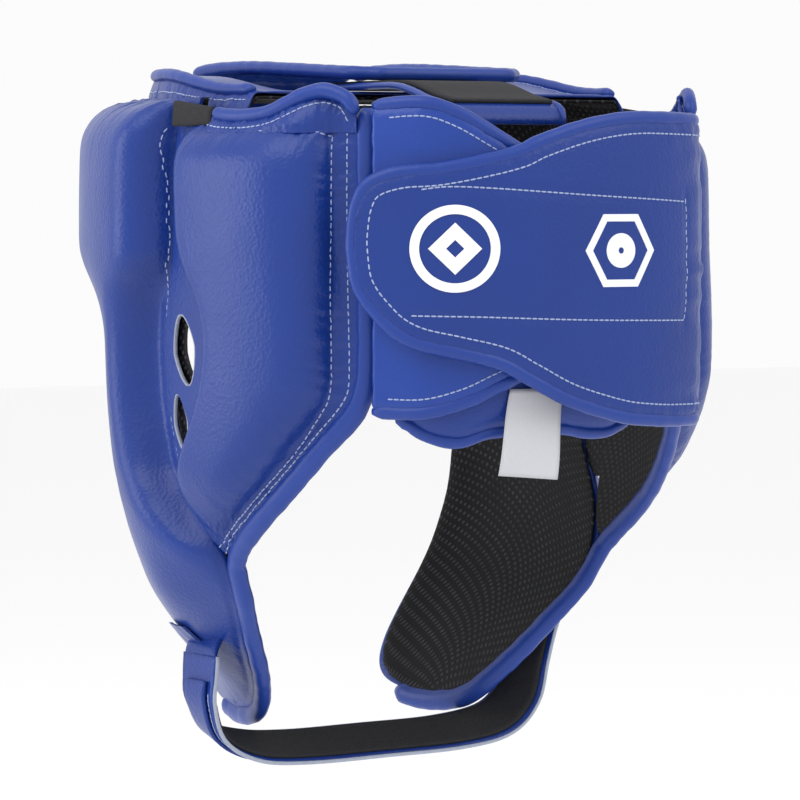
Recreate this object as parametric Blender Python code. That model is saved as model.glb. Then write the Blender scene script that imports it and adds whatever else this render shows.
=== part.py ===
"""Boxing headgear: padded leather shell, rear wrap closure, crown flaps and chin strap.

Frame: metres, +Z up, the wearer faces -Y, +X is the wearer's left. The origin is the middle
of the head, level with the ears. Every panel is a patch of one head form, described by its
turn angle round the head (0 at the face, 90 at the left ear, 180 at the nape), its height,
and its distance out from the lining's inner face.
"""
import math

import bmesh
import bpy
from mathutils import Matrix, Vector

MM = 0.001

# Head form: overall sizes of the space inside the lining
HEAD_HALF_WIDTH = 93 * MM
HEAD_HALF_LENGTH = 112 * MM
CROWN_HEIGHT = 112 * MM          # top edge of the padded ring above the ears
CHIN_DEPTH = 129.5 * MM          # lowest edge of the cheek pads below the ears
FORM_POWER = 2.4                 # 2 is an ellipse; higher is squarer

# Layers of a padded panel, from the head outwards
GAP = 0.35 * MM                  # clearance between neighbouring pieces
LINING_THICKNESS = 1.1 * MM
COVER_THICKNESS = 1.4 * MM
EDGE_FOAM = 0.9 * MM             # foam left at a sewn edge
FOREHEAD_PAD = 24 * MM           # total build-up over the lining's inner face
CHEEK_PAD = 20 * MM
REAR_PAD = 20 * MM
NAPE_PAD = 9.4 * MM
EAR_PANEL_STANDOFF = 4.2 * MM    # inner face of the ear leather above the lining's inner face
SEAM_HALF_ANGLE = 0.35           # degrees left free on each side of a seam

# Edge rolls
EDGE_ROLL_RADIUS = 2.7 * MM
FLAP_ROLL_RADIUS = 1.9 * MM

# Rear closure
BROW_HEIGHT = 47 * MM
FOREHEAD_HALF_ANGLE = 38.0
FLAP_LEATHER = 1.3 * MM
PATCH_THICKNESS = 1.1 * MM
UNDER_FLAP_STANDOFF = NAPE_PAD + 1.8 * MM   # clears the nape pad below
FLAP_ROOT_ANGLE = 144.0          # where each flap is sewn on, left side
FLAP_ROOT_STANDOFF = 6.6 * MM
OVER_TIP_ANGLE = 141.2
UNDER_TIP_ANGLE = 184.0
TONGUE_HEIGHT = 58 * MM
TONGUE_MIDDLE = 54 * MM          # height of the tongue's middle line above the ears
FLAP_ROOT_HEIGHT = 112 * MM
FLAP_ROOT_MIDDLE = 47 * MM
HOOK_TAPE_WIDTH = 48 * MM
BADGE_THICKNESS = 0.4 * MM

# Nape pad, hung slightly to the left of the middle
NAPE_MIDDLE_ANGLE = 171.0
NAPE_HALF_ANGLE = 23.5
NAPE_TOP = 92 * MM
NAPE_BOTTOM = -16 * MM
LABEL_WIDTH = 23 * MM
LABEL_TOP = 4 * MM
LABEL_LENGTH = 36 * MM
LABEL_THICKNESS = 0.35 * MM

# Crown
CROWN_TOP = 126.5 * MM           # outer face of the upper crown flap at its middle
CROWN_FLAP_LEATHER = 1.5 * MM
CROWN_LAYER = 4.0 * MM           # step from one crown layer to the next
SIDE_FLAP_FRONT = 46.0           # turn angles of each side crown flap's root
SIDE_FLAP_REAR = 108.0
SIDE_FLAP_TIP = 7 * MM           # how near the side crown flaps come to the middle
CROWN_STRAP_WIDTH = 50 * MM
CROWN_STRAP_MIDDLE = 20 * MM
FRONT_FLAP_HALF_WIDTH = 38 * MM
FRONT_FLAP_LENGTH = 134 * MM

# Chin strap
CHIN_STRAP_WIDTH = 25 * MM
CHIN_STRAP_LEATHER = 1.5 * MM
CHIN_TAPE_THICKNESS = 1.0 * MM
CHIN_TAPE_WIDTH = 20 * MM
CHIN_STRAP_SAG = 13.5 * MM        # middle of the strap below the cheek pads' lower edge
CHIN_STRAP_MIDDLE = -20 * MM     # middle of the strap's width, ahead of the ears
CHIN_STRAP_LEAN = 24.0           # degrees the strap's face turns towards the nape

for old in list(bpy.data.objects):
    bpy.data.objects.remove(old, do_unlink=True)


# ---------------------------------------------------------------- head form

# height share, half-width share, front share and rear share of the head sizes
FORM_LEVELS = (
    (-1.04, 0.474, 0.870, 0.860),
    (-0.91, 0.560, 0.925, 0.893),
    (-0.75, 0.710, 0.946, 0.928),
    (-0.58, 0.860, 0.964, 0.964),
    (-0.385, 0.957, 0.973, 0.991),
    (-0.19, 0.989, 0.991, 1.000),
    (0.00, 1.000, 1.000, 1.009),
    (0.45, 1.000, 1.000, 1.018),
    (0.80, 0.995, 0.996, 1.012),
    (1.03, 0.975, 0.980, 0.995),
)


def smooth_table(table, x, column=1):
    """Reads a column of a table of points as one smooth curve."""
    if x <= table[0][0]:
        return table[0][column]
    if x >= table[-1][0]:
        return table[-1][column]
    last = len(table) - 1
    k = next(i for i in range(last) if table[i][0] <= x <= table[i + 1][0])

    def slope(i):
        lo, hi = max(i - 1, 0), min(i + 1, last)
        return (table[hi][column] - table[lo][column]) / (table[hi][0] - table[lo][0])

    step = table[k + 1][0] - table[k][0]
    t = (x - table[k][0]) / step
    a, b = table[k][column], table[k + 1][column]
    return ((2 * t ** 3 - 3 * t ** 2 + 1) * a + (t ** 3 - 2 * t ** 2 + t) * step * slope(k)
            + (3 * t ** 2 - 2 * t ** 3) * b + (t ** 3 - t ** 2) * step * slope(k + 1))


def height_share(z):
    return z / CROWN_HEIGHT if z > 0 else z / CHIN_DEPTH


def form_point(turn, z, out=0.0):
    """A point at a turn angle and height, a distance out from the lining's inner face."""
    share = height_share(z)
    angle = math.radians(turn)
    side, front = math.sin(angle), math.cos(angle)
    half_width = HEAD_HALF_WIDTH * smooth_table(FORM_LEVELS, share, 1)
    half_length = HEAD_HALF_LENGTH * smooth_table(FORM_LEVELS, share, 2 if front > 0 else 3)
    inverse = (abs(side) / half_width) ** FORM_POWER + (abs(front) / half_length) ** FORM_POWER
    reach = inverse ** (-1 / FORM_POWER) + out
    return Vector((reach * side, -reach * front, z))


def smoothstep(a, b, x):
    t = min(max((x - a) / (b - a), 0.0), 1.0)
    return t * t * (3 - 2 * t)


# ---------------------------------------------------------------- outlines
# Left side, as (height, turn). Heights above the ears are shares of CROWN_HEIGHT and heights
# below them are shares of CHIN_DEPTH, so each outline keeps to the head form's own size.

REAR_BORDER = ((-1.00, 46.5), (-0.99, 54.0), (-0.965, 63.0), (-0.91, 73.0), (-0.825, 83.5),
               (-0.70, 93.0), (-0.62, 97.5), (-0.56, 99.0), (-0.50, 100.5), (-0.44, 105.0),
               (-0.38, 111.0), (-0.27, 121.0), (-0.13, 131.0), (-0.03, 137.5), (0.06, 139.4),
               (0.30, 139.7), (1.00, 139.5))
FACE_BORDER = ((-1.00, 43.0), (-0.99, 34.0), (-0.965, 28.5), (-0.93, 27.0), (-0.85, 28.5),
               (-0.77, 31.5), (-0.66, 36.0), (-0.55, 40.0), (-0.46, 42.0), (-0.35, 44.0),
               (0.00, 45.0), (0.20, 44.0), (0.34, 41.5), (0.42, 38.4), (1.00, 38.4))
EAR_SEAM = ((-0.30, 91.5), (-0.26, 88.0), (-0.20, 86.0), (-0.12, 84.5), (0.00, 82.5),
            (0.16, 81.6), (0.29, 82.5), (0.48, 85.0), (0.80, 85.5), (1.00, 88.0))
REAR_PAD_FRONT = ((-0.475, 99.0), (-0.44, 96.8), (-0.35, 94.3), (-0.26, 94.3), (-0.19, 96.0),
                  (-0.06, 101.0), (0.05, 103.4), (0.20, 104.3), (0.32, 102.0), (0.41, 98.4),
                  (0.50, 95.4), (0.65, 94.3), (0.85, 94.0), (1.00, 96.0))


def border(outline, z):
    return smooth_table(outline, height_share(z))


def from_share(share):
    return share * (CROWN_HEIGHT if share > 0 else CHIN_DEPTH)


# ---------------------------------------------------------------- mesh and material tools

def material(name, colour, roughness, metallic=0.0):
    made = bpy.data.materials.new(name)
    made.use_nodes = True
    shader = made.node_tree.nodes["Principled BSDF"]
    shader.inputs["Base Color"].default_value = (*colour, 1.0)
    shader.inputs["Roughness"].default_value = roughness
    shader.inputs["Metallic"].default_value = metallic
    return made


BLUE_LEATHER = ("blue_leather", (0.047, 0.085, 0.29), 0.45)
BLUE_BINDING = ("blue_binding", (0.042, 0.080, 0.30), 0.42)
BLACK_MESH = ("black_mesh", (0.020, 0.020, 0.022), 0.85)
BLACK_HOOK = ("black_hook_tape", (0.015, 0.015, 0.016), 0.7)
BLACK_LOOP = ("black_loop_tape", (0.032, 0.032, 0.032), 0.95)
GREY_FOAM = ("grey_foam", (0.18, 0.18, 0.19), 0.9)
WHITE_PRINT = ("white_print", (0.85, 0.85, 0.85), 0.5)
WHITE_SATIN = ("white_satin", (0.80, 0.80, 0.80), 0.6)


def add_object(name, bm, finish):
    bmesh.ops.recalc_face_normals(bm, faces=bm.faces)
    if bm.calc_volume(signed=True) < 0:
        bmesh.ops.reverse_faces(bm, faces=bm.faces)
    mesh = bpy.data.meshes.new(name)
    bm.to_mesh(mesh)
    bm.free()
    mesh.materials.append(material(name + "_" + finish[0], *finish[1:]))
    made = bpy.data.objects.new(name, mesh)
    bpy.context.scene.collection.objects.link(made)
    return made


def spread(count, edge=0.0):
    """Even steps from 0 to 1, with one more close to each end if edge is set."""
    steps = [i / count for i in range(count + 1)]
    if edge:
        steps = [0.0, edge] + [edge + (1 - 2 * edge) * i / (count - 2) for i in range(1, count - 2)]
        steps += [1 - edge, 1.0]
    return steps


def slab(name, across, along, place, finish):
    """A closed solid between two faces: place(u, v, side) gives each corner, side 0 or 1."""
    bm = bmesh.new()
    bmesh.ops.create_grid(bm, x_segments=len(across) - 1, y_segments=len(along) - 1, size=0.5)
    sheet = bmesh.ops.extrude_face_region(bm, geom=list(bm.faces))
    for vert in (g for g in sheet["geom"] if isinstance(g, bmesh.types.BMVert)):
        vert.co.z = 1.0
    for vert in bm.verts:
        column = round((vert.co.x + 0.5) * (len(across) - 1))
        row = round((vert.co.y + 0.5) * (len(along) - 1))
        vert.co = place(across[column], along[row], round(vert.co.z))
    return add_object(name, bm, finish)


def roll(name, points, radius, finish):
    """A round edge roll along a route, with closed ends."""
    curve = bpy.data.curves.new(name, "CURVE")
    curve.dimensions = "3D"
    curve.bevel_depth = radius
    curve.bevel_resolution = 1
    curve.use_fill_caps = True
    curve.materials.append(material(name + "_" + finish[0], *finish[1:]))
    spline = curve.splines.new("POLY")
    spline.points.add(len(points) - 1)
    for spot, point in zip(spline.points, points):
        spot.co = (*point, 1.0)
    made = bpy.data.objects.new(name, curve)
    bpy.context.scene.collection.objects.link(made)
    return made


def resample(points, pitch):
    """Evenly spaced points along a polyline."""
    lengths = [0.0]
    for a, b in zip(points, points[1:]):
        lengths.append(lengths[-1] + (b - a).length)
    count = max(2, round(lengths[-1] / pitch))
    out, k = [], 0
    for i in range(count + 1):
        want = lengths[-1] * i / count
        while k < len(points) - 2 and lengths[k + 1] < want:
            k += 1
        t = (want - lengths[k]) / (lengths[k + 1] - lengths[k])
        out.append(points[k].lerp(points[k + 1], t))
    return out


def push_out(points, outward, distance):
    """Moves a route sideways in the head form's surface, away from the piece it edges."""
    moved = []
    for i, point in enumerate(points):
        along = (points[min(i + 1, len(points) - 1)] - points[max(i - 1, 0)]).normalized()
        radial = Vector((point.x, point.y, 0)).normalized()
        aside = along.cross(radial).normalized()
        moved.append(point + aside * (distance * outward))
    return moved


def mirror_x(point, side):
    return Vector((point.x * side, point.y, point.z))


# ---------------------------------------------------------------- padded panels

EDGE_HEIGHT = LINING_THICKNESS + GAP + EDGE_FOAM + GAP + COVER_THICKNESS


def padded_panel(name, side, across, along, where, total):
    """Cover, foam core and lining of one padded panel, each a solid of its own.

    where(u, v) gives turn and height, total(u, v) the whole build-up of the pad.
    """
    def layer(low, high):
        def place(u, v, face):
            turn, z = where(u, v)
            out = high(u, v) if face else low(u, v)
            return mirror_x(form_point(turn, z, out), side)
        return place

    def cover_low(u, v):
        return total(u, v) - COVER_THICKNESS

    slab(name + "_cover", across, along, layer(cover_low, total), BLUE_LEATHER)
    slab(name + "_foam", across, along,
         layer(lambda u, v: LINING_THICKNESS + GAP, lambda u, v: cover_low(u, v) - GAP), GREY_FOAM)
    slab(name + "_lining", across, along,
         layer(lambda u, v: 0.0, lambda u, v: LINING_THICKNESS), BLACK_MESH)


def dome(x, start, end):
    """0 at both edges of a pad and 1 inside, rising over the given shares of its span."""
    return smoothstep(-0.02, start, x) * smoothstep(-0.02, end, 1 - x)


def forehead():
    def where(u, v):
        turn = -FOREHEAD_HALF_ANGLE + 2 * FOREHEAD_HALF_ANGLE * u
        return turn, BROW_HEIGHT + (CROWN_HEIGHT - BROW_HEIGHT) * v

    def total(u, v):
        return EDGE_HEIGHT + (FOREHEAD_PAD - EDGE_HEIGHT) * dome(v, 0.2, 0.2) * dome(u, 0.07, 0.07)

    padded_panel("forehead", 1, spread(10, 0.04), spread(6, 0.07), where, total)


def cheek_front(z):
    return max(border(FACE_BORDER, z), FOREHEAD_HALF_ANGLE + SEAM_HALF_ANGLE)


def cheek_rear(z):
    seam = border(EAR_SEAM, z)
    pad = border(REAR_PAD_FRONT, z)
    rear = border(REAR_BORDER, z)
    share = height_share(z)
    if share < -0.52:
        return rear
    if share < -0.34:
        return pad - SEAM_HALF_ANGLE
    return min(seam, pad - 2 * SEAM_HALF_ANGLE)


# heights that the panels of one side share, so that their seams run side by side
EAR_ROWS = (-0.30, -0.20, -0.10, 0.0, 0.10, 0.20, 0.32, 0.42, 0.54, 0.72, 0.86, 0.93, 1.0)
REAR_PAD_ROWS = (-0.47, -0.44, -0.38) + EAR_ROWS[:-1]
CHEEK_ROWS = (-1.0, -0.985, -0.93, -0.83, -0.70, -0.57) + REAR_PAD_ROWS + (1.0,)


def cheek_low(z):
    return border(FACE_BORDER, z) if height_share(z) < 0.42 else cheek_front(z)


def cheek_build_up(u, v):
    """Whole thickness of the cheek pad at a share of its span and of its height."""
    swell = smoothstep(-1.06, -0.55, v) * smoothstep(-0.01, 0.10, 1.0 - v)
    temple = smoothstep(0.15, 0.5, v)
    slope = smoothstep(-0.05, 0.75, u) * (1 - temple) + smoothstep(-0.03, 0.18, u) * temple
    drop = smoothstep(0.0, 0.22, 1 - u) if v > -0.5 else smoothstep(-0.1, 0.45, 1 - u)
    pad = CHEEK_PAD + (FOREHEAD_PAD - CHEEK_PAD) * temple
    return EDGE_HEIGHT + (pad - EDGE_HEIGHT) * swell * slope * drop


def cheek_face(turn, share, out=0.0):
    """A point on the left cheek's outer face, or a distance out from it."""
    z = from_share(share)
    u = (turn - cheek_low(z)) / (cheek_rear(z) - cheek_low(z))
    return form_point(turn, z, cheek_build_up(u, share) + out)


def cheek(name, side):
    """Temple, cheek and chin guard in one piece, from the crown edge down to the chin."""
    def where(u, v):
        z = from_share(v)
        return cheek_low(z) + (cheek_rear(z) - cheek_low(z)) * u, z

    padded_panel(name, side, (0, 0.06, 0.2, 0.4, 0.62, 0.8, 0.94, 1), CHEEK_ROWS, where,
                 cheek_build_up)


def rear_pad(name, side):
    """Thick pad behind the ear, with a flat sewn border along the closure edge."""
    def where(u, v):
        z = from_share(v)
        low, high = border(REAR_PAD_FRONT, z), border(REAR_BORDER, z)
        low = low + SEAM_HALF_ANGLE
        return low + (high - low) * u, z

    def total(u, v):
        flange = smoothstep(0.12, 0.26, 1 - u)
        face = smoothstep(-0.02, 0.12, u)
        ends = smoothstep(-0.49, -0.28, v) * smoothstep(-0.01, 0.10, 0.93 - v)
        return EDGE_HEIGHT + (REAR_PAD - EDGE_HEIGHT) * flange * face * ends

    padded_panel(name, side, (0, 0.05, 0.15, 0.4, 0.62, 0.76, 0.87, 1), REAR_PAD_ROWS, where, total)


# ---------------------------------------------------------------- ear panels

# middle turn, middle height share, half width, half length and lean of each ear opening
EAR_OPENINGS = ((90.5, 0.140, 8.0 * MM, 14.0 * MM, -14.0), (88.4, -0.095, 5.0 * MM, 11.5 * MM, -16.0))


def ear_cutter(name, side, turn, share, half_width, half_length, lean):
    """A leaf-shaped prism that passes right through the ear panel and its lining."""
    bm = bmesh.new()
    middle = form_point(turn, from_share(share))
    lean = math.radians(lean)
    ring = []
    for k in range(12):
        angle = 2 * math.pi * k / 12
        y = half_width * math.cos(angle) * (1 - 0.25 * abs(math.sin(angle)))
        z = half_length * math.sin(angle)
        turned = (y * math.cos(lean) + z * math.sin(lean), z * math.cos(lean) - y * math.sin(lean))
        ring.append(bm.verts.new((middle.x - 12 * MM, middle.y + turned[0], middle.z + turned[1])))
    face = bm.faces.new(ring)
    through = bmesh.ops.extrude_face_region(bm, geom=[face])
    moved = [g for g in through["geom"] if isinstance(g, bmesh.types.BMVert)]
    bmesh.ops.translate(bm, verts=moved, vec=(30 * MM, 0, 0))
    for vert in bm.verts:
        vert.co = mirror_x(vert.co, side)
    cutter = add_object(name, bm, BLACK_MESH)
    cutter.hide_render = True
    cutter.display_type = "WIRE"
    return cutter


def ear(name, side):
    """Recessed leather panel over the ear with its lining, both with two openings."""
    def where(u, v):
        z = from_share(v)
        low = border(EAR_SEAM, z) + SEAM_HALF_ANGLE
        high = border(REAR_PAD_FRONT, z) - SEAM_HALF_ANGLE
        return low + (high - low) * u, z

    def layer(low, high):
        def place(u, v, face):
            turn, z = where(u, v)
            return mirror_x(form_point(turn, z, high if face else low), side)
        return place

    pieces = (
        slab(name + "_panel", spread(3), EAR_ROWS,
             layer(EAR_PANEL_STANDOFF, EAR_PANEL_STANDOFF + COVER_THICKNESS), BLUE_LEATHER),
        slab(name + "_lining", spread(3), EAR_ROWS,
             layer(EAR_PANEL_STANDOFF - GAP - LINING_THICKNESS, EAR_PANEL_STANDOFF - GAP), BLACK_MESH),
    )
    for number, opening in enumerate(EAR_OPENINGS):
        cutter = ear_cutter(f"{name}_cutter_{number}", side, *opening)
        for piece in pieces:
            cut = piece.modifiers.new("opening", "BOOLEAN")
            cut.operation = "DIFFERENCE"
            cut.object = cutter


# ---------------------------------------------------------------- edge rolls of the shell

def edge_roll(name, side):
    """Leather roll round the closure edge, the jaw edge and the lower end of the cheek."""
    rest = EDGE_HEIGHT / 2
    shares = [0.93 - 0.93 * i / 8 for i in range(9)] + [-i / 60 for i in range(1, 61)]
    rear = [form_point(border(REAR_BORDER, from_share(s)), from_share(s), rest) for s in shares]
    under = [form_point(turn, -CHIN_DEPTH, rest) for turn in (45.6, 44.7, 43.9)]
    front = [form_point(border(FACE_BORDER, from_share(s)), from_share(s), rest)
             for s in (-0.998, -0.994, -0.988, -0.98, -0.97)]
    route = resample(rear + under + front, 9 * MM)
    route = push_out(route, -1, EDGE_ROLL_RADIUS + 3 * GAP)
    route = [mirror_x(point, side) for point in route]
    roll(name, route, EDGE_ROLL_RADIUS, BLUE_BINDING)


# ---------------------------------------------------------------- rear closure flaps

def flap_edges(reach):
    """Half height and middle of a flap at a share of its length, from root 0 to tip 1."""
    neck = smoothstep(0.22, 0.74, reach)
    full = FLAP_ROOT_HEIGHT + (TONGUE_HEIGHT - FLAP_ROOT_HEIGHT) * neck
    middle = FLAP_ROOT_MIDDLE + (TONGUE_MIDDLE - FLAP_ROOT_MIDDLE) * neck
    corner = 0.13
    if reach > 1 - corner:
        x = (reach - (1 - corner)) / corner
        full *= 0.34 + 0.66 * math.sqrt(max(1 - x ** 2.4, 0.0))
    return full / 2, middle


def flap_turn(reach, side, tip):
    """Turn angle along a flap; side 1 is sewn on the left, side -1 on the right."""
    root = FLAP_ROOT_ANGLE if side > 0 else 360 - FLAP_ROOT_ANGLE
    return root + (tip - root) * reach


def flap_standoff(turn, full):
    """Rises from the sewn root to the flap's place over the nape pad."""
    from_root = min(abs(turn - FLAP_ROOT_ANGLE), abs(360 - FLAP_ROOT_ANGLE - turn))
    return FLAP_ROOT_STANDOFF + (full - FLAP_ROOT_STANDOFF) * smoothstep(0, 9.5, from_root)


FLAP_STEPS = (0, 0.07, 0.14, 0.24, 0.36, 0.48, 0.6, 0.72, 0.84, 0.91, 0.96, 1.0)


def flap_layer(name, side, tip, inner, thickness, finish, steps=FLAP_STEPS, rows=4, rise=None):
    """One layer of a flap; rise(turn) gives its inner face, or inner is used with the ramp."""
    def place(u, v, face):
        turn = flap_turn(u, side, tip)
        half, middle = flap_edges(u)
        out = rise(turn) + inner if rise else inner
        return form_point(turn, middle + half * (2 * v - 1), out + face * thickness)

    return slab(name, steps, spread(rows), place, finish)


def flap_roll(name, side, tip, rise, mid):
    """Rolled leather edge round the three free sides of a flap."""
    upper, lower = [], []
    for i in range(41):
        reach = i / 40
        turn = flap_turn(reach, side, tip)
        half, middle = flap_edges(reach)
        upper.append(form_point(turn, middle + half, rise(turn) + mid))
        lower.append(form_point(turn, middle - half, rise(turn) + mid))
    route = resample(upper[3:] + lower[:2:-1], 8.5 * MM)
    route = push_out(route, -side, FLAP_ROLL_RADIUS + 4 * GAP)
    roll(name, route, FLAP_ROLL_RADIUS, BLUE_BINDING)


def tape(name, side, tip, first, last, rise, inner, finish):
    """A hook or loop patch on a flap, between two of the flap's steps."""
    def place(u, v, face):
        turn = flap_turn(u, side, tip)
        z = TONGUE_MIDDLE + HOOK_TAPE_WIDTH * (v - 0.5)
        return form_point(turn, z, rise(turn) + inner + face * PATCH_THICKNESS)

    return slab(name, FLAP_STEPS[first:last + 1], spread(4), place, finish)


def under_rise(turn):
    return flap_standoff(turn, UNDER_FLAP_STANDOFF)


UNDER_STACK = 2 * FLAP_LEATHER + PATCH_THICKNESS + 3 * GAP
OVER_FLAP_STANDOFF = UNDER_FLAP_STANDOFF + UNDER_STACK + PATCH_THICKNESS + 2 * GAP


def over_rise(turn):
    """Clears the under flap all along, right up to the left closure edge."""
    from_root = 360 - FLAP_ROOT_ANGLE - turn
    return FLAP_ROOT_STANDOFF + (OVER_FLAP_STANDOFF - FLAP_ROOT_STANDOFF) * smoothstep(0, 14, from_root)


def closure():
    flap_layer("under_flap_backing", 1, UNDER_TIP_ANGLE, 0.0, FLAP_LEATHER, BLUE_LEATHER,
               rise=under_rise)
    flap_layer("under_flap_cover", 1, UNDER_TIP_ANGLE, FLAP_LEATHER + GAP, FLAP_LEATHER,
               BLUE_LEATHER, rise=under_rise)
    tape("under_flap_loop_patch", 1, UNDER_TIP_ANGLE, 3, 9, under_rise,
         2 * (FLAP_LEATHER + GAP), BLACK_LOOP)
    flap_roll("under_flap_edge_roll", 1, UNDER_TIP_ANGLE, under_rise, FLAP_LEATHER + GAP / 2)
    flap_layer("over_flap_backing", -1, OVER_TIP_ANGLE, 0.0, FLAP_LEATHER, BLUE_LEATHER,
               rise=over_rise)
    flap_layer("over_flap_cover", -1, OVER_TIP_ANGLE, FLAP_LEATHER + GAP, FLAP_LEATHER,
               BLUE_LEATHER, rise=over_rise)
    tape("over_flap_hook_patch", -1, OVER_TIP_ANGLE, 5, 9, over_rise,
         -PATCH_THICKNESS - GAP, BLACK_HOOK)
    flap_roll("over_flap_edge_roll", -1, OVER_TIP_ANGLE, over_rise, FLAP_LEATHER + GAP / 2)
    for name, first, last, height in (("over_flap_badge_tip", 7, 9, 33 * MM),
                                      ("over_flap_badge_root", 3, 5, 30 * MM)):
        badge(name, first, last, height)


def badge(name, first, last, height):
    """A thin plain printed panel on the over flap's outer face."""
    out = 2 * FLAP_LEATHER + 2 * GAP

    def place(u, v, face):
        turn = flap_turn(u, -1, OVER_TIP_ANGLE)
        z = TONGUE_MIDDLE + height * (v - 0.5)
        return form_point(turn, z, over_rise(turn) + out + face * BADGE_THICKNESS)

    slab(name, FLAP_STEPS[first:last + 1], spread(2), place, WHITE_PRINT)


# ---------------------------------------------------------------- nape pad and label

def nape():
    def where(u, v):
        squeeze = 1 - 0.10 * smoothstep(0.3, 1.0, v)
        ends = 1 - 0.12 * (1 - smoothstep(0, 0.14, v)) - 0.10 * (1 - smoothstep(0, 0.12, 1 - v))
        turn = NAPE_MIDDLE_ANGLE + NAPE_HALF_ANGLE * squeeze * ends * (2 * u - 1)
        z = NAPE_BOTTOM + (NAPE_TOP - NAPE_BOTTOM) * v
        return turn, z

    def total(u, v):
        return EDGE_HEIGHT + (NAPE_PAD - EDGE_HEIGHT) * dome(u, 0.18, 0.18) * dome(v, 0.2, 0.1)

    padded_panel("nape_pad", 1, spread(8, 0.07), spread(7, 0.08), where, total)


def size_label():
    """White woven label, sewn in behind the flaps; its free end stands slightly off the pad."""
    half = math.degrees(LABEL_WIDTH / 2 / (HEAD_HALF_LENGTH + NAPE_PAD))

    def place(u, v, face):
        drop = 1 - v
        turn = NAPE_MIDDLE_ANGLE + 1.5 * drop * -2 + half * (2 * u - 1)
        out = NAPE_PAD + 0.5 * MM + 5 * MM * smoothstep(0.25, 1.0, drop) + face * LABEL_THICKNESS
        return form_point(turn, LABEL_TOP - LABEL_LENGTH * drop, out)

    slab("size_label", spread(3), spread(6), place, WHITE_SATIN)


# ---------------------------------------------------------------- crown

def route_point(route, t):
    """A point and the unit direction on a smooth plane route, t from 0 to 1."""
    table = [(i / (len(route) - 1), a, b) for i, (a, b) in enumerate(route)]
    a, b = smooth_table(table, t, 1), smooth_table(table, t, 2)
    step = 0.01
    lo, hi = max(t - step, 0), min(t + step, 1)
    da = smooth_table(table, hi, 1) - smooth_table(table, lo, 1)
    db = smooth_table(table, hi, 2) - smooth_table(table, lo, 2)
    length = math.hypot(da, db)
    return a, b, da / length, db / length


CROWN_INSET = 3.5 * MM           # crown flaps rise this far inside the padded ring
CROWN_STEPS = 9
FRONT_FLAP_ROOT = -HEAD_HALF_LENGTH * 0.98 + 2.4 * CROWN_INSET
CROWN_STRAP_ROOT = HEAD_HALF_LENGTH * 0.93


def side_flap(prefix, side):
    """Crown flap from the top of the padded ring inwards, under the strap and the front flap."""
    low_top = CROWN_TOP - 3 * CROWN_LAYER
    high_rise = 7 * MM

    def surface(u, v):
        turn = SIDE_FLAP_FRONT + (SIDE_FLAP_REAR - SIDE_FLAP_FRONT) * v
        root = form_point(turn, CROWN_HEIGHT, -CROWN_INSET)
        tip = Vector((SIDE_FLAP_TIP, -50 * MM + 80 * MM * v, 0))
        rise = smoothstep(0.0, 0.18, u)
        inward = u ** 1.5
        spot = root.lerp(tip, inward)
        front = smoothstep(15 * MM, -45 * MM, spot.y) if spot.y > -45 * MM else 1.0
        outer = smoothstep(42 * MM, 60 * MM, math.hypot(spot.x, 0.45 * spot.y))
        base = CROWN_HEIGHT - 8 * MM
        top = low_top + high_rise * front * outer
        return Vector((spot.x * side, spot.y, base + (top - base) * rise))

    def layer(drop, thickness):
        def place(u, v, face):
            spot = surface(u, v)
            level = smoothstep(0.0, 0.25, u)
            depth = drop + (1 - face) * thickness
            inward = Vector((-spot.x, -spot.y, 0)).normalized()
            return spot + inward * depth * (1 - level) - Vector((0, 0, depth * (0.25 + 0.75 * level)))
        return place

    slab(prefix + "_crown_flap_cover", spread(CROWN_STEPS), spread(5), layer(0, CROWN_FLAP_LEATHER),
         BLUE_LEATHER)
    slab(prefix + "_crown_flap_lining", spread(CROWN_STEPS), spread(5),
         layer(CROWN_FLAP_LEATHER + 2 * GAP, PATCH_THICKNESS), BLACK_MESH)


def front_flap():
    """Flap from the forehead's top edge, folded back over the whole crown."""
    y0 = FRONT_FLAP_ROOT
    top = CROWN_TOP
    end = y0 + FRONT_FLAP_LENGTH
    route = ((y0, CROWN_HEIGHT - 6 * MM), (y0 - 1.5 * MM, CROWN_HEIGHT + 5 * MM),
             (y0 + 5 * MM, top - 3 * MM), (y0 + 20 * MM, top), (y0 + 48 * MM, top),
             (y0 + 78 * MM, top - 1.2 * MM), (y0 + 106 * MM, top - 2.6 * MM), (end, top - 4 * MM))

    def layer(inset, thickness, half_width):
        def place(u, v, face):
            y, z, dy, dz = route_point(route, v)
            out = -inset - (1 - face) * thickness
            corner = 1 - 0.22 * smoothstep(0.93, 1.0, v)
            x = half_width * corner * (2 * u - 1)
            return Vector((x, y - dz * out, z + dy * out))
        return place

    steps = spread(12)
    slab("front_crown_flap_cover", spread(4), steps,
         layer(0, CROWN_FLAP_LEATHER, FRONT_FLAP_HALF_WIDTH), BLUE_LEATHER)
    slab("front_crown_flap_hook_patch", spread(4), steps[7:12],
         layer(CROWN_FLAP_LEATHER + GAP, PATCH_THICKNESS, CROWN_STRAP_WIDTH / 2), BLACK_HOOK)


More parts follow.
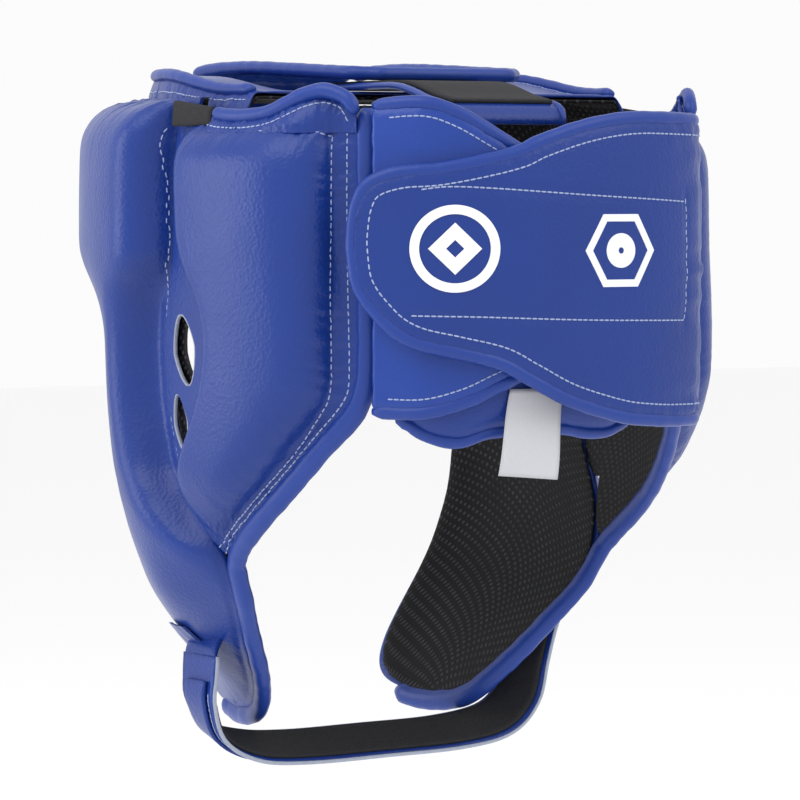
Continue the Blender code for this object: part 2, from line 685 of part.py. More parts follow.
def crown_strap():
    """Strap from the nape pad over the crown, under the front flap, loop tape outwards."""
    y0 = CROWN_STRAP_ROOT
    top = CROWN_TOP - 4 * MM - 2 * PATCH_THICKNESS - 2 * CROWN_FLAP_LEATHER - 5 * GAP
    route = ((y0, NAPE_TOP + 9 * MM), (y0 - 4 * MM, NAPE_TOP + 15 * MM), (y0 - 20 * MM, top - 4 * MM),
             (y0 - 42 * MM, top - 0.6 * MM), (y0 - 68 * MM, top), (y0 - 94 * MM, top),
             (y0 - 115 * MM, top))

    def layer(width, low, high):
        def place(u, v, face):
            y, z, dy, dz = route_point(route, v)
            out = high if face else low
            x = CROWN_STRAP_MIDDLE * (1 - 0.6 * v) + width * (u - 0.5)
            return Vector((x, y + dz * out, z - dy * out))
        return place

    top_face = CROWN_FLAP_LEATHER + GAP
    steps = spread(10)
    slab("crown_strap", spread(2), steps, layer(CROWN_STRAP_WIDTH, 0, CROWN_FLAP_LEATHER),
         BLUE_LEATHER)
    slab("crown_strap_loop_patch", spread(2), steps[1:],
         layer(CROWN_STRAP_WIDTH - 5 * MM, top_face, top_face + PATCH_THICKNESS), BLACK_LOOP)


# ---------------------------------------------------------------- chin strap

CHIN_STEPS = 22
CHIN_TURN = 70.0                 # where the strap leaves each cheek


def chin_route():
    """Middle line of the chin strap, seen from the front, from the left cheek to the right."""
    low = -CHIN_DEPTH - CHIN_STRAP_SAG
    clear = CHIN_STRAP_LEATHER + CHIN_TAPE_THICKNESS + PATCH_THICKNESS + 8 * GAP
    left = [cheek_face(CHIN_TURN, s, clear) for s in (-0.80, -0.87)]
    right = [cheek_face(CHIN_TURN, s, clear) for s in (-0.86, -0.76, -0.66)]
    side = left[-1].x
    start = [(p.x + 3 * MM, p.z) for p in left]
    end = [(-p.x - 4 * MM, p.z) for p in right]
    under = [(side, low + 13 * MM), (0.80 * side, low + 3.0 * MM), (0.42 * side, low + 0.4 * MM),
             (0.0, low), (-0.42 * side, low + 0.8 * MM), (-0.80 * side, low + 3.2 * MM),
             (-side - 2 * MM, low + 12.5 * MM)]
    return start + under + end


def chin_band(name, width, low, high, finish, first=0, last=CHIN_STEPS):
    """A layer of the chin strap between two of its steps, counted from the left cheek."""
    route = chin_route()
    lean = math.radians(CHIN_STRAP_LEAN)

    def place(u, v, face):
        x, z, dx, dz = route_point(route, v)
        level = smoothstep(0.02, 0.25, v) * smoothstep(0.02, 0.30, 1 - v)
        tilt = lean * level
        out = high if face else low
        aside = width * (u - 0.5)
        return Vector((x + dz * out, CHIN_STRAP_MIDDLE + aside * math.cos(tilt),
                       z - dx * out - aside * math.sin(tilt)))

    return slab(name, spread(1), spread(CHIN_STEPS)[first:last + 1], place, finish)


def cheek_patch(name, side, turns, shares, low, thickness, finish):
    """A flat piece sewn on the outer face of a cheek."""
    def place(u, v, face):
        turn = turns[0] + (turns[1] - turns[0]) * u
        share = shares[0] + (shares[1] - shares[0]) * v
        return mirror_x(cheek_face(turn, share, low + face * thickness), side)

    slab(name, spread(3), spread(4), place, finish)


def chin_strap():
    chin_band("chin_strap", CHIN_STRAP_WIDTH, 0.0, CHIN_STRAP_LEATHER, BLUE_LEATHER)
    chin_band("chin_strap_loop_tape", CHIN_TAPE_WIDTH, CHIN_STRAP_LEATHER + GAP,
              CHIN_STRAP_LEATHER + GAP + CHIN_TAPE_THICKNESS, BLACK_LOOP, 2, CHIN_STEPS - 1)
    chin_band("chin_strap_keeper", CHIN_STRAP_WIDTH * 0.6, -GAP - CHIN_STRAP_LEATHER, -GAP,
              BLUE_LEATHER, 1, 6)
    cheek_patch("chin_strap_anchor", 1, (60, 72), (-0.72, -0.80), GAP * 3, CHIN_STRAP_LEATHER,
                BLUE_LEATHER)
    cheek_patch("chin_catch_patch", -1, (59, 72), (-0.66, -0.80), GAP * 3, PATCH_THICKNESS,
                BLACK_HOOK)


# ---------------------------------------------------------------- joint axes

def hinge(name, place, pieces, carrier=None):
    """An empty on a joint's axis, which carries the pieces that turn about it."""
    pivot = bpy.data.objects.new(name + "_hinge", None)
    pivot.location = place
    bpy.context.scene.collection.objects.link(pivot)
    if carrier:
        pivot.parent = carrier
        pivot.matrix_parent_inverse = Matrix.Translation(-carrier.location)
    for piece in pieces:
        made = bpy.data.objects[piece]
        made.parent = pivot
        made.matrix_parent_inverse = Matrix.Translation(-Vector(place))
    return pivot


def named(prefix):
    return [made.name for made in bpy.data.objects if made.name.startswith(prefix)]


def hinges():
    flap_out = FLAP_ROOT_STANDOFF + FLAP_LEATHER
    hinge("over_flap", form_point(360 - FLAP_ROOT_ANGLE, FLAP_ROOT_MIDDLE, flap_out),
          named("over_flap_"))
    hinge("under_flap", form_point(FLAP_ROOT_ANGLE, FLAP_ROOT_MIDDLE, flap_out),
          named("under_flap_"))
    nape_hinge = hinge("nape_pad", form_point(180, NAPE_TOP, LINING_THICKNESS), named("nape_pad_"))
    hinge("size_label", form_point(NAPE_MIDDLE_ANGLE, LABEL_TOP, NAPE_PAD), ["size_label"],
          nape_hinge)
    side_root = form_point((SIDE_FLAP_FRONT + SIDE_FLAP_REAR) / 2, CROWN_HEIGHT - 8 * MM, -CROWN_INSET)
    for side_name, side in (("left", 1), ("right", -1)):
        hinge(side_name + "_crown_flap", mirror_x(side_root, side), named(side_name + "_crown_flap_"))
    hinge("front_crown_flap", (0, FRONT_FLAP_ROOT + 2 * MM, CROWN_TOP - 8 * MM),
          named("front_crown_flap_"))
    hinge("crown_strap", (CROWN_STRAP_MIDDLE, CROWN_STRAP_ROOT, NAPE_TOP + 9 * MM), named("crown_strap"))
    strap_x, strap_z = chin_route()[0]
    hinge("chin_strap", (strap_x, CHIN_STRAP_MIDDLE, strap_z),
          ["chin_strap", "chin_strap_loop_tape", "chin_strap_keeper"])


forehead()
for prefix, hand in (("left", 1), ("right", -1)):
    cheek(prefix + "_cheek", hand)
    rear_pad(prefix + "_rear_pad", hand)
    ear(prefix + "_ear", hand)
    edge_roll(prefix + "_edge_roll", hand)
closure()
nape()
size_label()
for prefix, hand in (("left", 1), ("right", -1)):
    side_flap(prefix, hand)
crown_strap()
front_flap()
chin_strap()
hinges()
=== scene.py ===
"""Looks of the boxing headgear: every panel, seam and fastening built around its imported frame.

Metres, +Z up, the wearer faces -Y and +X is the wearer's left. A place on the shell is given by its
turn angle round the head (0 at the face, 90 at the left ear, 180 at the nape), its height and its
distance out from the lining's inner face.
"""
import math

import bpy
import numpy as np
from mathutils import Matrix, Vector
from mathutils.bvhtree import BVHTree
from mathutils.kdtree import KDTree


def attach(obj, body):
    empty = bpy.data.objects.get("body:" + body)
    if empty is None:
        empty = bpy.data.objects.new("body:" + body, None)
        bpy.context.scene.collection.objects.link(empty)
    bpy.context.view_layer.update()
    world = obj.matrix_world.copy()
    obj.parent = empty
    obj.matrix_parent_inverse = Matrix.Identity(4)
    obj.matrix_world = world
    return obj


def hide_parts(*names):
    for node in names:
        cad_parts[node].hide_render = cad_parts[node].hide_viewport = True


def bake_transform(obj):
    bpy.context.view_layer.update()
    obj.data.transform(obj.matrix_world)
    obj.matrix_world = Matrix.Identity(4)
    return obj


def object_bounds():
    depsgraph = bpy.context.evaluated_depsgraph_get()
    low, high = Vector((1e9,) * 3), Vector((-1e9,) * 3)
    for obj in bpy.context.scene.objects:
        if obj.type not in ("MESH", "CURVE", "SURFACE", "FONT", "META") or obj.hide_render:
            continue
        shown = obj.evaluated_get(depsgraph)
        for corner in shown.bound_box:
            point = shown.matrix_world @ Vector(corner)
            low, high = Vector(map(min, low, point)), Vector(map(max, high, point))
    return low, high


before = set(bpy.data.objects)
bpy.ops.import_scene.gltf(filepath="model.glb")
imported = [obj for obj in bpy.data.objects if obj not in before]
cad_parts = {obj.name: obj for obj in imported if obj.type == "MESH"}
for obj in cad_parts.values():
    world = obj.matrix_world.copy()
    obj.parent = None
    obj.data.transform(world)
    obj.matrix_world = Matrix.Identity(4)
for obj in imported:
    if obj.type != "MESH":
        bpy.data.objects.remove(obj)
cad_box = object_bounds()
MM = 0.001

# ------------------------------------------------------------------ camera, backdrop and lights
# The headgear is seen from behind its left shoulder, almost level. It stands on nothing, because a
# head holds it, so a pale floor lies below it. Three large soft boxes light it from above.
VIEW_TURN = math.radians(147)
VIEW_RISE = math.radians(2.5)
VIEW_DISTANCE = 1.8
VIEW_LENS = 205.7
FLOOR_DROP = 150 * MM

back = Vector((math.sin(VIEW_TURN) * math.cos(VIEW_RISE), -math.cos(VIEW_TURN) * math.cos(VIEW_RISE),
               math.sin(VIEW_RISE)))
camera_data = bpy.data.cameras.new("camera")
camera_data.lens = VIEW_LENS
camera_data.sensor_width = 36
camera_data.shift_y = -15 / 800
camera = bpy.data.objects.new("camera", camera_data)
camera.location = back * VIEW_DISTANCE
camera.rotation_euler = back.to_track_quat("Z", "Y").to_euler()
bpy.context.scene.collection.objects.link(camera)
bpy.context.scene.camera = camera


def soft_box(name, turn, rise, size, power):
    """A square studio lamp, 1.3 m from the headgear and aimed at it."""
    aim = Vector((math.sin(turn) * math.cos(rise), -math.cos(turn) * math.cos(rise), math.sin(rise)))
    data = bpy.data.lights.new(name, "AREA")
    data.shape = "SQUARE"
    data.size = size
    data.energy = power
    lamp = bpy.data.objects.new(name, data)
    lamp.location = aim * 1.3
    lamp.rotation_euler = aim.to_track_quat("Z", "Y").to_euler()
    bpy.context.scene.collection.objects.link(lamp)


soft_box("lamp_over_left", math.radians(100), math.radians(48), 0.9, 6)
soft_box("lamp_over_right", math.radians(205), math.radians(40), 0.9, 3.5)
soft_box("lamp_front_left", math.radians(62), math.radians(8), 0.7, 4)

world = bpy.data.worlds.new("studio")
world.use_nodes = True
world.node_tree.nodes["Background"].inputs["Color"].default_value = (1, 1, 1, 1)
world.node_tree.nodes["Background"].inputs["Strength"].default_value = 0.97
bpy.context.scene.world = world
bpy.context.scene.view_settings.view_transform = "Standard"

floor_mesh = bpy.data.meshes.new("studio_floor")
floor_low = cad_box[0][2] - FLOOR_DROP
floor_mesh.from_pydata([(x, y, floor_low) for x, y in ((-6, -6), (6, -6), (6, 6), (-6, 6))], [],
                       [(0, 1, 2, 3)])
floor = bpy.data.objects.new("studio_floor", floor_mesh)
bpy.context.scene.collection.objects.link(floor)
floor_paint = bpy.data.materials.new("studio_floor_paint")
floor_paint.use_nodes = True
floor_paint.node_tree.nodes["Principled BSDF"].inputs["Base Color"].default_value = (0.96, 0.96, 0.96, 1)
floor_paint.node_tree.nodes["Principled BSDF"].inputs["Roughness"].default_value = 1.0
floor_mesh.materials.append(floor_paint)

# ------------------------------------------------------------------ forehead pad
# The real forehead pad is coated split leather over laminated foam, sewn along its four sides and
# turned, so it is fullest in the middle and rolls over at the brow and at the crown seam.
HEAD_HALF_WIDTH = 93 * MM
HEAD_HALF_LENGTH = 112 * MM
CROWN_HEIGHT = 112 * MM
CHIN_DEPTH = 129.5 * MM
FORM_POWER = 2.4
LINING = 1.1 * MM
EDGE_HEIGHT = 4.1 * MM           # lining, thin foam and leather where a panel is sewn
FOREHEAD_PAD = 23.5 * MM
BROW_HEIGHT = 47 * MM
FOREHEAD_HALF_ANGLE = 38.0
LEATHER_BLUE = "#193888"
LEATHER_SHADE = "#14307a"
PEBBLE = 1.3 * MM                # leather grain; the real pebbles of 0.5 mm are too fine to show

# height share, half-width share, front share and rear share of the head sizes
FORM_LEVELS = (
    (-1.04, 0.474, 0.870, 0.860),
    (-0.91, 0.560, 0.925, 0.893),
    (-0.75, 0.710, 0.946, 0.928),
    (-0.58, 0.860, 0.964, 0.964),
    (-0.385, 0.957, 0.973, 0.991),
    (-0.19, 0.989, 0.991, 1.000),
    (0.00, 1.000, 1.000, 1.009),
    (0.45, 1.000, 1.000, 1.018),
    (0.80, 0.995, 0.996, 1.012),
    (1.03, 0.975, 0.980, 0.995),
)


def read_table(table, x, column=1):
    """Reads a column of a table of points as one smooth curve."""
    if x <= table[0][0]:
        return table[0][column]
    if x >= table[-1][0]:
        return table[-1][column]
    last = len(table) - 1
    k = next(i for i in range(last) if table[i][0] <= x <= table[i + 1][0])

    def slope(i):
        lo, hi = max(i - 1, 0), min(i + 1, last)
        return (table[hi][column] - table[lo][column]) / (table[hi][0] - table[lo][0])

    step = table[k + 1][0] - table[k][0]
    t = (x - table[k][0]) / step
    a, b = table[k][column], table[k + 1][column]
    return ((2 * t ** 3 - 3 * t ** 2 + 1) * a + (t ** 3 - 2 * t ** 2 + t) * step * slope(k)
            + (3 * t ** 2 - 2 * t ** 3) * b + (t ** 3 - t ** 2) * step * slope(k + 1))


def on_head(turn, z, out=0.0):
    """A point of the head form at a turn in degrees and a height, a distance out from the lining."""
    share = z / CROWN_HEIGHT if z > 0 else z / CHIN_DEPTH
    angle = math.radians(turn)
    side, front = math.sin(angle), math.cos(angle)
    half_width = HEAD_HALF_WIDTH * read_table(FORM_LEVELS, share, 1)
    half_length = HEAD_HALF_LENGTH * read_table(FORM_LEVELS, share, 2 if front > 0 else 3)
    inverse = (abs(side) / half_width) ** FORM_POWER + (abs(front) / half_length) ** FORM_POWER
    reach = inverse ** (-1 / FORM_POWER) + out
    return (reach * side, -reach * front, z)


def ease(a, b, x):
    t = min(max((x - a) / (b - a), 0.0), 1.0)
    return t * t * (3 - 2 * t)


def shoulder(x, width):
    """The round side of a stuffed edge: 0 at the seam, 1 from a width inwards."""
    t = min(max(x / width, 0.0), 1.0)
    return math.sqrt(1 - (1 - t) ** 2)


def grid(place, across, along):
    """Points place(u, v) in rows of v from 0 to 1; across and along are counts or lists of steps."""
    us = np.linspace(0, 1, across + 1) if isinstance(across, int) else across
    vs = np.linspace(0, 1, along + 1) if isinstance(along, int) else along
    return np.array([[place(u, v) for u in us] for v in vs])


def shell(name, outer, inner):
    """A closed sheet between two grids of points, with UVs in metres along its surface."""
    rows, columns = outer.shape[:2]
    count = rows * columns
    at = np.arange(count).reshape(rows, columns)
    quads = np.stack([at[:-1, :-1], at[:-1, 1:], at[1:, 1:], at[1:, :-1]], -1).reshape(-1, 4)
    rim = np.concatenate([at[0, :-1], at[:-1, -1], at[-1, :0:-1], at[:0:-1, 0]])
    following = np.roll(rim, -1)
    sides = np.stack([rim, rim + count, following + count, following], -1)
    mesh = bpy.data.meshes.new(name)
    points = np.concatenate([outer.reshape(-1, 3), inner.reshape(-1, 3)])
    mesh.from_pydata(points.tolist(), [], np.concatenate([quads, quads[:, ::-1] + count, sides]).tolist())
    width = np.linalg.norm(np.diff(outer, axis=1), axis=2).cumsum(1)
    width = np.concatenate([np.zeros((rows, 1)), width], 1)
    height = np.linalg.norm(np.diff(outer, axis=0), axis=2).cumsum(0)
    height = np.concatenate([np.zeros((1, columns)), height], 0)
    flat = np.stack([width - width.mean(1, keepdims=True), height], -1).reshape(-1, 2)
    corners = np.empty(len(mesh.loops), np.int32)
    mesh.loops.foreach_get("vertex_index", corners)
    layer = mesh.uv_layers.new(name="cloth")
    layer.data.foreach_set("uv", flat[corners % count].astype(np.float32).ravel())
    mesh.shade_smooth()
    made = bpy.data.objects.new(name, mesh)
    bpy.context.scene.collection.objects.link(made)
    return made


def corner_points(piece):
    spots = np.empty(len(piece.data.vertices) * 3, np.float32)
    piece.data.vertices.foreach_get("co", spots)
    return spots.reshape(-1, 3).astype(float)


def set_points(piece, spots):
    piece.data.vertices.foreach_set("co", spots.astype(np.float32).ravel())
    piece.data.update()


def swell(piece, sewn, pressure, most):
    """Fills a sewn cover by a cloth run: its seams stay put and the leather bows out between them."""
    before = corner_points(piece)
    held = piece.vertex_groups.new(name="sewn")
    held.add([int(i) for i in sewn], 1.0, "REPLACE")
    cloth = piece.modifiers.new("filling", "CLOTH")
    cloth.settings.quality = 5
    cloth.settings.vertex_group_mass = "sewn"
    cloth.settings.use_pressure = True
    cloth.settings.uniform_pressure_force = pressure
    cloth.settings.tension_stiffness = 25
    cloth.settings.compression_stiffness = 25
    cloth.settings.bending_stiffness = 6
    cloth.settings.effector_weights.gravity = 0
    cloth.collision_settings.use_collision = False
    cloth.point_cache.frame_start = 1
    cloth.point_cache.frame_end = 20
    for number in range(1, 21):
        bpy.context.scene.frame_set(number)
    moved = piece.evaluated_get(bpy.context.evaluated_depsgraph_get())
    step = corner_points(moved) - before
    piece.modifiers.remove(cloth)
    piece.vertex_groups.remove(held)
    length = np.linalg.norm(step, axis=1, keepdims=True)
    set_points(piece, before + step * np.minimum(1.0, most / np.maximum(length, 1e-9)))
    bpy.context.scene.frame_set(1)


def refine(piece, levels):
    """Rounds a piece with a subdivision surface and keeps the finer mesh."""
    smooth = piece.modifiers.new("fine", "SUBSURF")
    smooth.levels = smooth.render_levels = levels
    finer = bpy.data.meshes.new_from_object(piece.evaluated_get(bpy.context.evaluated_depsgraph_get()))
    piece.modifiers.clear()
    piece.data = finer
    finer.shade_smooth()


def route(points, pitch, place=on_head, out=0.0):
    """Evenly spaced points of the smooth curve through a few places given as (turn, height)."""
    table = [(i, *point) for i, point in enumerate(points)]
    steps = np.linspace(0, len(points) - 1, 24 * len(points))
    curve = np.array([place(read_table(table, s, 1), read_table(table, s, 2), out) for s in steps])
    run = np.concatenate([[0], np.linalg.norm(np.diff(curve, axis=0), axis=1).cumsum()])
    want = np.linspace(0, run[-1], max(2, round(run[-1] / pitch) + 1))
    return np.stack([np.interp(want, run, curve[:, k]) for k in range(3)], 1)


def ripple(run, pitch, start):
    """Uneven waves along a seam, between about -1 and 1."""
    a = 2 * np.pi * run / pitch
    return (0.55 * np.sin(a + 1.7 * np.sin(0.23 * a + start))
            + 0.45 * np.sin(0.61 * a + 2.1 * np.sin(0.17 * a + 2 * start) + start))


def work(piece, seams):
    """Presses seams into the leather and gathers it beside them.

    Each seam is (points, groove, gather, reach, pitch): the groove's depth, the height of the
    gathers, how far they run out from the seam and how far apart they are.
    """
    spots = corner_points(piece)
    facing = np.empty(len(piece.data.vertices) * 3, np.float32)
    piece.data.vertex_normals.foreach_get("vector", facing)
    facing = facing.reshape(-1, 3)
    lift = np.zeros(len(spots))
    for number, (points, groove, gather, reach, pitch) in enumerate(seams):
        tree = KDTree(len(points))
        for i, point in enumerate(points):
            tree.insert(point, i)
        tree.balance()
        spacing = np.linalg.norm(points[1] - points[0])
        found = [tree.find(spot) for spot in spots]
        away = np.array([hit[2] for hit in found])
        run = np.array([hit[1] for hit in found]) * spacing
        near = np.exp(-away / reach) * np.minimum(away / (2.5 * MM), 1.0)
        slant = run + 0.25 * away
        lift += gather * near * ripple(slant, pitch, 1.3 * number) - groove * np.exp(-(away / (1.6 * MM)) ** 2)
    set_points(piece, spots + facing * lift[:, None])


def linear(hex_colour):
    """An sRGB hex value as linear red, green, blue and alpha."""
    parts = [int(hex_colour[i:i + 2], 16) / 255 for i in (1, 3, 5)]
    return (*(c / 12.92 if c <= 0.04045 else ((c + 0.055) / 1.055) ** 2.4 for c in parts), 1.0)


def add_node(tree, kind, settings=None, **inputs):
    """Adds a node with its settings; an input is a value or the output that it is linked from."""
    made = tree.nodes.new(kind)
    for name, value in (settings or {}).items():
        setattr(made, name, value)
    for name, value in inputs.items():
        socket = made.inputs[int(name[1:]) if name[1:].isdigit() else name.replace("_", " ")]
        if isinstance(value, bpy.types.NodeSocket):
            tree.links.new(value, socket)
        else:
            socket.default_value = value
    return made


def new_material(name, roughness, **constants):
    """A principled material whose constants are set on the shader's own sockets."""
    made = bpy.data.materials.new(name)
    made.use_nodes = True
    surface = made.node_tree.nodes["Principled BSDF"]
    surface.inputs["Roughness"].default_value = roughness
    for key, value in constants.items():
        surface.inputs[key.replace("_", " ")].default_value = value
    return made, made.node_tree, surface


def coated_leather(name, light, shade, roughness, grain):
    """Coated split leather, embossed and rolled: a satin sheen broken by a fine pebble grain."""
    made, tree, surface = new_material(name, roughness, Specular_IOR_Level=0.34)
    place = add_node(tree, "ShaderNodeTexCoord").outputs["Object"]
    cloud = add_node(tree, "ShaderNodeTexNoise", Vector=place, Scale=1 / (45 * MM), Detail=2.0)
    tone = add_node(tree, "ShaderNodeMix", {"data_type": "RGBA"}, _0=cloud.outputs["Fac"],
                    _6=linear(light), _7=linear(shade))
    tree.links.new(tone.outputs[2], surface.inputs["Base Color"])
    gloss = add_node(tree, "ShaderNodeMapRange", Value=cloud.outputs["Fac"], From_Min=0.3, From_Max=0.7,
                     To_Min=roughness - 0.05, To_Max=roughness + 0.06)
    tree.links.new(gloss.outputs["Result"], surface.inputs["Roughness"])
    pebbles = add_node(tree, "ShaderNodeTexVoronoi", {"feature": "SMOOTH_F1"}, Vector=place,
                       Scale=1 / PEBBLE, Smoothness=0.6)
    creases = add_node(tree, "ShaderNodeTexNoise", Vector=place, Scale=1 / (2.6 * PEBBLE), Detail=3.0,
                       Distortion=0.8)
    both = add_node(tree, "ShaderNodeMath", {"operation": "MULTIPLY_ADD"}, _0=creases.outputs["Fac"],
                    _1=0.7, _2=pebbles.outputs["Distance"])
    bump = add_node(tree, "ShaderNodeBump", Height=both.outputs[0], Strength=grain, Distance=0.25 * MM)
    tree.links.new(bump.outputs["Normal"], surface.inputs["Normal"])
    return made


LEATHER = coated_leather("coated_leather_blue", LEATHER_BLUE, LEATHER_SHADE, 0.34, 0.5)


def dress(piece, finish, body, slot, *nodes):
    """Gives a piece its finish and its body, and hides the CAD nodes that it stands for; its record slot is not used.
    """
    piece.data.materials.clear()
    piece.data.materials.append(finish)
    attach(piece, body)
    if nodes:
        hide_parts(*nodes)


def mirrored(piece, name):
    """A copy of a piece for the wearer's right, as the same pattern is cut for both sides."""
    mesh = piece.data.copy()
    mesh.name = name
    mesh.transform(Matrix.Scale(-1, 4, (1, 0, 0)))
    mesh.flip_normals()
    made = bpy.data.objects.new(name, mesh)
    bpy.context.scene.collection.objects.link(made)
    return made


def both_sides(piece, part, finish, slot, nodes=(), body="shell"):
    """Dresses a left piece and its mirrored copy; names and bodies differ only in left and right."""
    for side, made in (("left", piece), ("right", mirrored(piece, "right_" + part))):
        dress(made, finish, body.replace("left", side), slot, *[f"{side}_{node}" for node in nodes])


def sewn_rim(rows, columns, rim=1):
    """The points of a shell that its seams hold: the whole back and a rim of the front."""
    count = rows * columns
    at = np.arange(count).reshape(rows, columns)
    inside = at[rim:rows - rim, rim:columns - rim].ravel()
    return np.setdiff1d(np.arange(2 * count), inside)


def forehead_spot(u, v, out):
    turn = FOREHEAD_HALF_ANGLE * (2 * u - 1)
    return on_head(turn, BROW_HEIGHT + (CROWN_HEIGHT - BROW_HEIGHT) * v, out)


def forehead_face(u, v):
    rise = shoulder(v, 0.24) * shoulder(1 - v, 0.22) * (0.93 + 0.07 * math.sin(math.pi * u))
    edge = shoulder(u, 0.05) * shoulder(1 - u, 0.05)
    return forehead_spot(u, v, EDGE_HEIGHT + (FOREHEAD_PAD - EDGE_HEIGHT) * rise * (0.85 + 0.15 * edge))


rows, columns = 17, 37
forehead = shell("forehead_pad", grid(forehead_face, columns - 1, rows - 1),
                 grid(lambda u, v: forehead_spot(u, v, LINING + 0.2 * MM), columns - 1, rows - 1))
swell(forehead, sewn_rim(rows, columns), 1.5, 1.2 * MM)
refine(forehead, 2)
crown_seam = route([(-38, 111), (0, 111), (38, 111)], 1.5 * MM, lambda t, z, o: on_head(t, z * MM, o), 5 * MM)
brow_seam = route([(-38, 48), (0, 48), (38, 48)], 1.5 * MM, lambda t, z, o: on_head(t, z * MM, o), 5 * MM)
work(forehead, [(crown_seam, 0.4 * MM, 0.5 * MM, 7 * MM, 6 * MM), (brow_seam, 0.3 * MM, 0.4 * MM, 6 * MM, 7 * MM)])
dress(forehead, LEATHER, "shell", "blue_leather", "forehead_cover", "forehead_foam")

# ------------------------------------------------------------------ cheek and temple pads
# Each cheek pad is one leather cover from the crown seam past the temple down to the chin, full over
# the temple and the cheekbone, thin at the face edge, and pressed flat where the ear panel joins it.
CHEEK_PAD = 20 * MM
TEMPLE_PAD = 23.5 * MM
REAR_BORDER = ((-1.00, 46.5), (-0.99, 54.0), (-0.965, 63.0), (-0.91, 73.0), (-0.825, 83.5),
               (-0.70, 93.0), (-0.62, 97.5), (-0.56, 99.0), (-0.50, 100.5), (-0.44, 105.0),
               (-0.38, 111.0), (-0.27, 121.0), (-0.13, 131.0), (-0.03, 137.5), (0.06, 139.4),
               (0.30, 139.7), (1.00, 139.5))
FACE_BORDER = ((-1.00, 43.0), (-0.99, 34.0), (-0.965, 28.5), (-0.93, 27.0), (-0.85, 28.5),
               (-0.77, 31.5), (-0.66, 36.0), (-0.55, 40.0), (-0.46, 42.0), (-0.35, 44.0),
               (0.00, 45.0), (0.20, 44.0), (0.34, 41.5), (0.42, 38.4), (1.00, 38.4))
EAR_SEAM = ((-0.30, 91.5), (-0.26, 88.0), (-0.20, 86.0), (-0.12, 84.5), (0.00, 82.5),
            (0.16, 81.6), (0.29, 82.5), (0.48, 85.0), (0.80, 85.5), (1.00, 88.0))
REAR_PAD_FRONT = ((-0.475, 99.0), (-0.44, 96.8), (-0.35, 94.3), (-0.26, 94.3), (-0.19, 96.0),
                  (-0.06, 101.0), (0.05, 103.4), (0.20, 104.3), (0.32, 102.0), (0.41, 98.4),
                  (0.50, 95.4), (0.65, 94.3), (0.85, 94.0), (1.00, 96.0))
SEAM_HALF_ANGLE = 0.35
CHEEK_ROWS = np.concatenate([[-1.0, -0.985], np.linspace(-0.96, 0.94, 46), [0.975, 1.0]])
CHEEK_COLUMNS = 22


def height(share):
    return share * (CROWN_HEIGHT if share > 0 else CHIN_DEPTH)


def cheek_edges(share):
    """Turn of the cheek pad's face edge and rear edge."""
    pad = read_table(REAR_PAD_FRONT, share)
    front = read_table(FACE_BORDER, share)
    if share > 0.42:
        front = FOREHEAD_HALF_ANGLE + SEAM_HALF_ANGLE
    if share < -0.52:
        return front, read_table(REAR_BORDER, share)
    if share < -0.34:
        return front, pad - SEAM_HALF_ANGLE
    return front, min(read_table(EAR_SEAM, share), pad - 2 * SEAM_HALF_ANGLE)


def cheek_fill(u, share):
    """Height of the cheek's cover over the lining."""
    chin = ease(-1.06, -0.55, share)
    crown = shoulder(1 - share, 0.16)
    temple = ease(0.15, 0.5, share)
    face = ease(-0.05, 0.75, u) * (1 - temple) + shoulder(u + 0.04, 0.22) * temple
    jaw = ease(-0.1, 0.45, 1 - u)
    fold = 0.10 + 0.05 * ease(0.45, 0.1, abs(share - 0.05))
    ear = shoulder(1 - u - 0.02 - fold * ease(0.46, 0.34, abs(share + 0.02)), 0.16)
    back_side = jaw + (ear - jaw) * ease(-0.62, -0.36, share)
    pad = CHEEK_PAD + (TEMPLE_PAD - CHEEK_PAD) * temple
    return EDGE_HEIGHT + (pad - EDGE_HEIGHT) * chin * crown * face * back_side


def cheek_spot(u, share, out):
    front, rear = cheek_edges(share)
    return on_head(front + (rear - front) * u, height(share), out)


def cheek_grid(face):
    steps = np.linspace(0, 1, CHEEK_COLUMNS + 1)
    return np.array([[face(u, share) for u in steps] for share in CHEEK_ROWS])


cheek = shell("left_cheek_pad", cheek_grid(lambda u, s: cheek_spot(u, s, cheek_fill(u, s))),
              cheek_grid(lambda u, s: cheek_spot(u, s, LINING + 0.2 * MM)))
swell(cheek, sewn_rim(len(CHEEK_ROWS), CHEEK_COLUMNS + 1), 1.0, 1.0 * MM)
refine(cheek, 2)


def side_route(points, pitch=1.5 * MM, out=6 * MM):
    """A seam on the left side from its (turn, height in mm) places."""
    return route(points, pitch, lambda turn, z, o: on_head(turn, z * MM, o), out)


def border_route(outline, shares, pitch, out, inset=0.0):
    """A route along an outline of (share, turn), moved a number of degrees along the turn."""
    spots = [(read_table(outline, s) + inset, height(s) / MM) for s in shares]
    return route(spots, pitch, lambda turn, z, o: on_head(turn, z * MM, o), out)


EAR_SHARES = np.linspace(-0.27, 0.97, 18)
ear_line = border_route(EAR_SEAM, EAR_SHARES, 1.5 * MM, 6 * MM, -0.8)
temple_line = side_route([(39, 111), (62, 111.5), (86, 110)])
jaw_line = side_route([(98, -64), (97, -76), (90, -92), (74, -113), (60, -124), (48, -127)])
work(cheek, [(ear_line, 0.9 * MM, 0.4 * MM, 6 * MM, 6 * MM), (temple_line, 0.5 * MM, 0.9 * MM, 9 * MM, 7 * MM),
             (jaw_line, 0.6 * MM, 0.2 * MM, 5 * MM, 9 * MM)])
both_sides(cheek, "cheek_pad", LEATHER, "blue_leather", ("cheek_cover", "cheek_foam"))

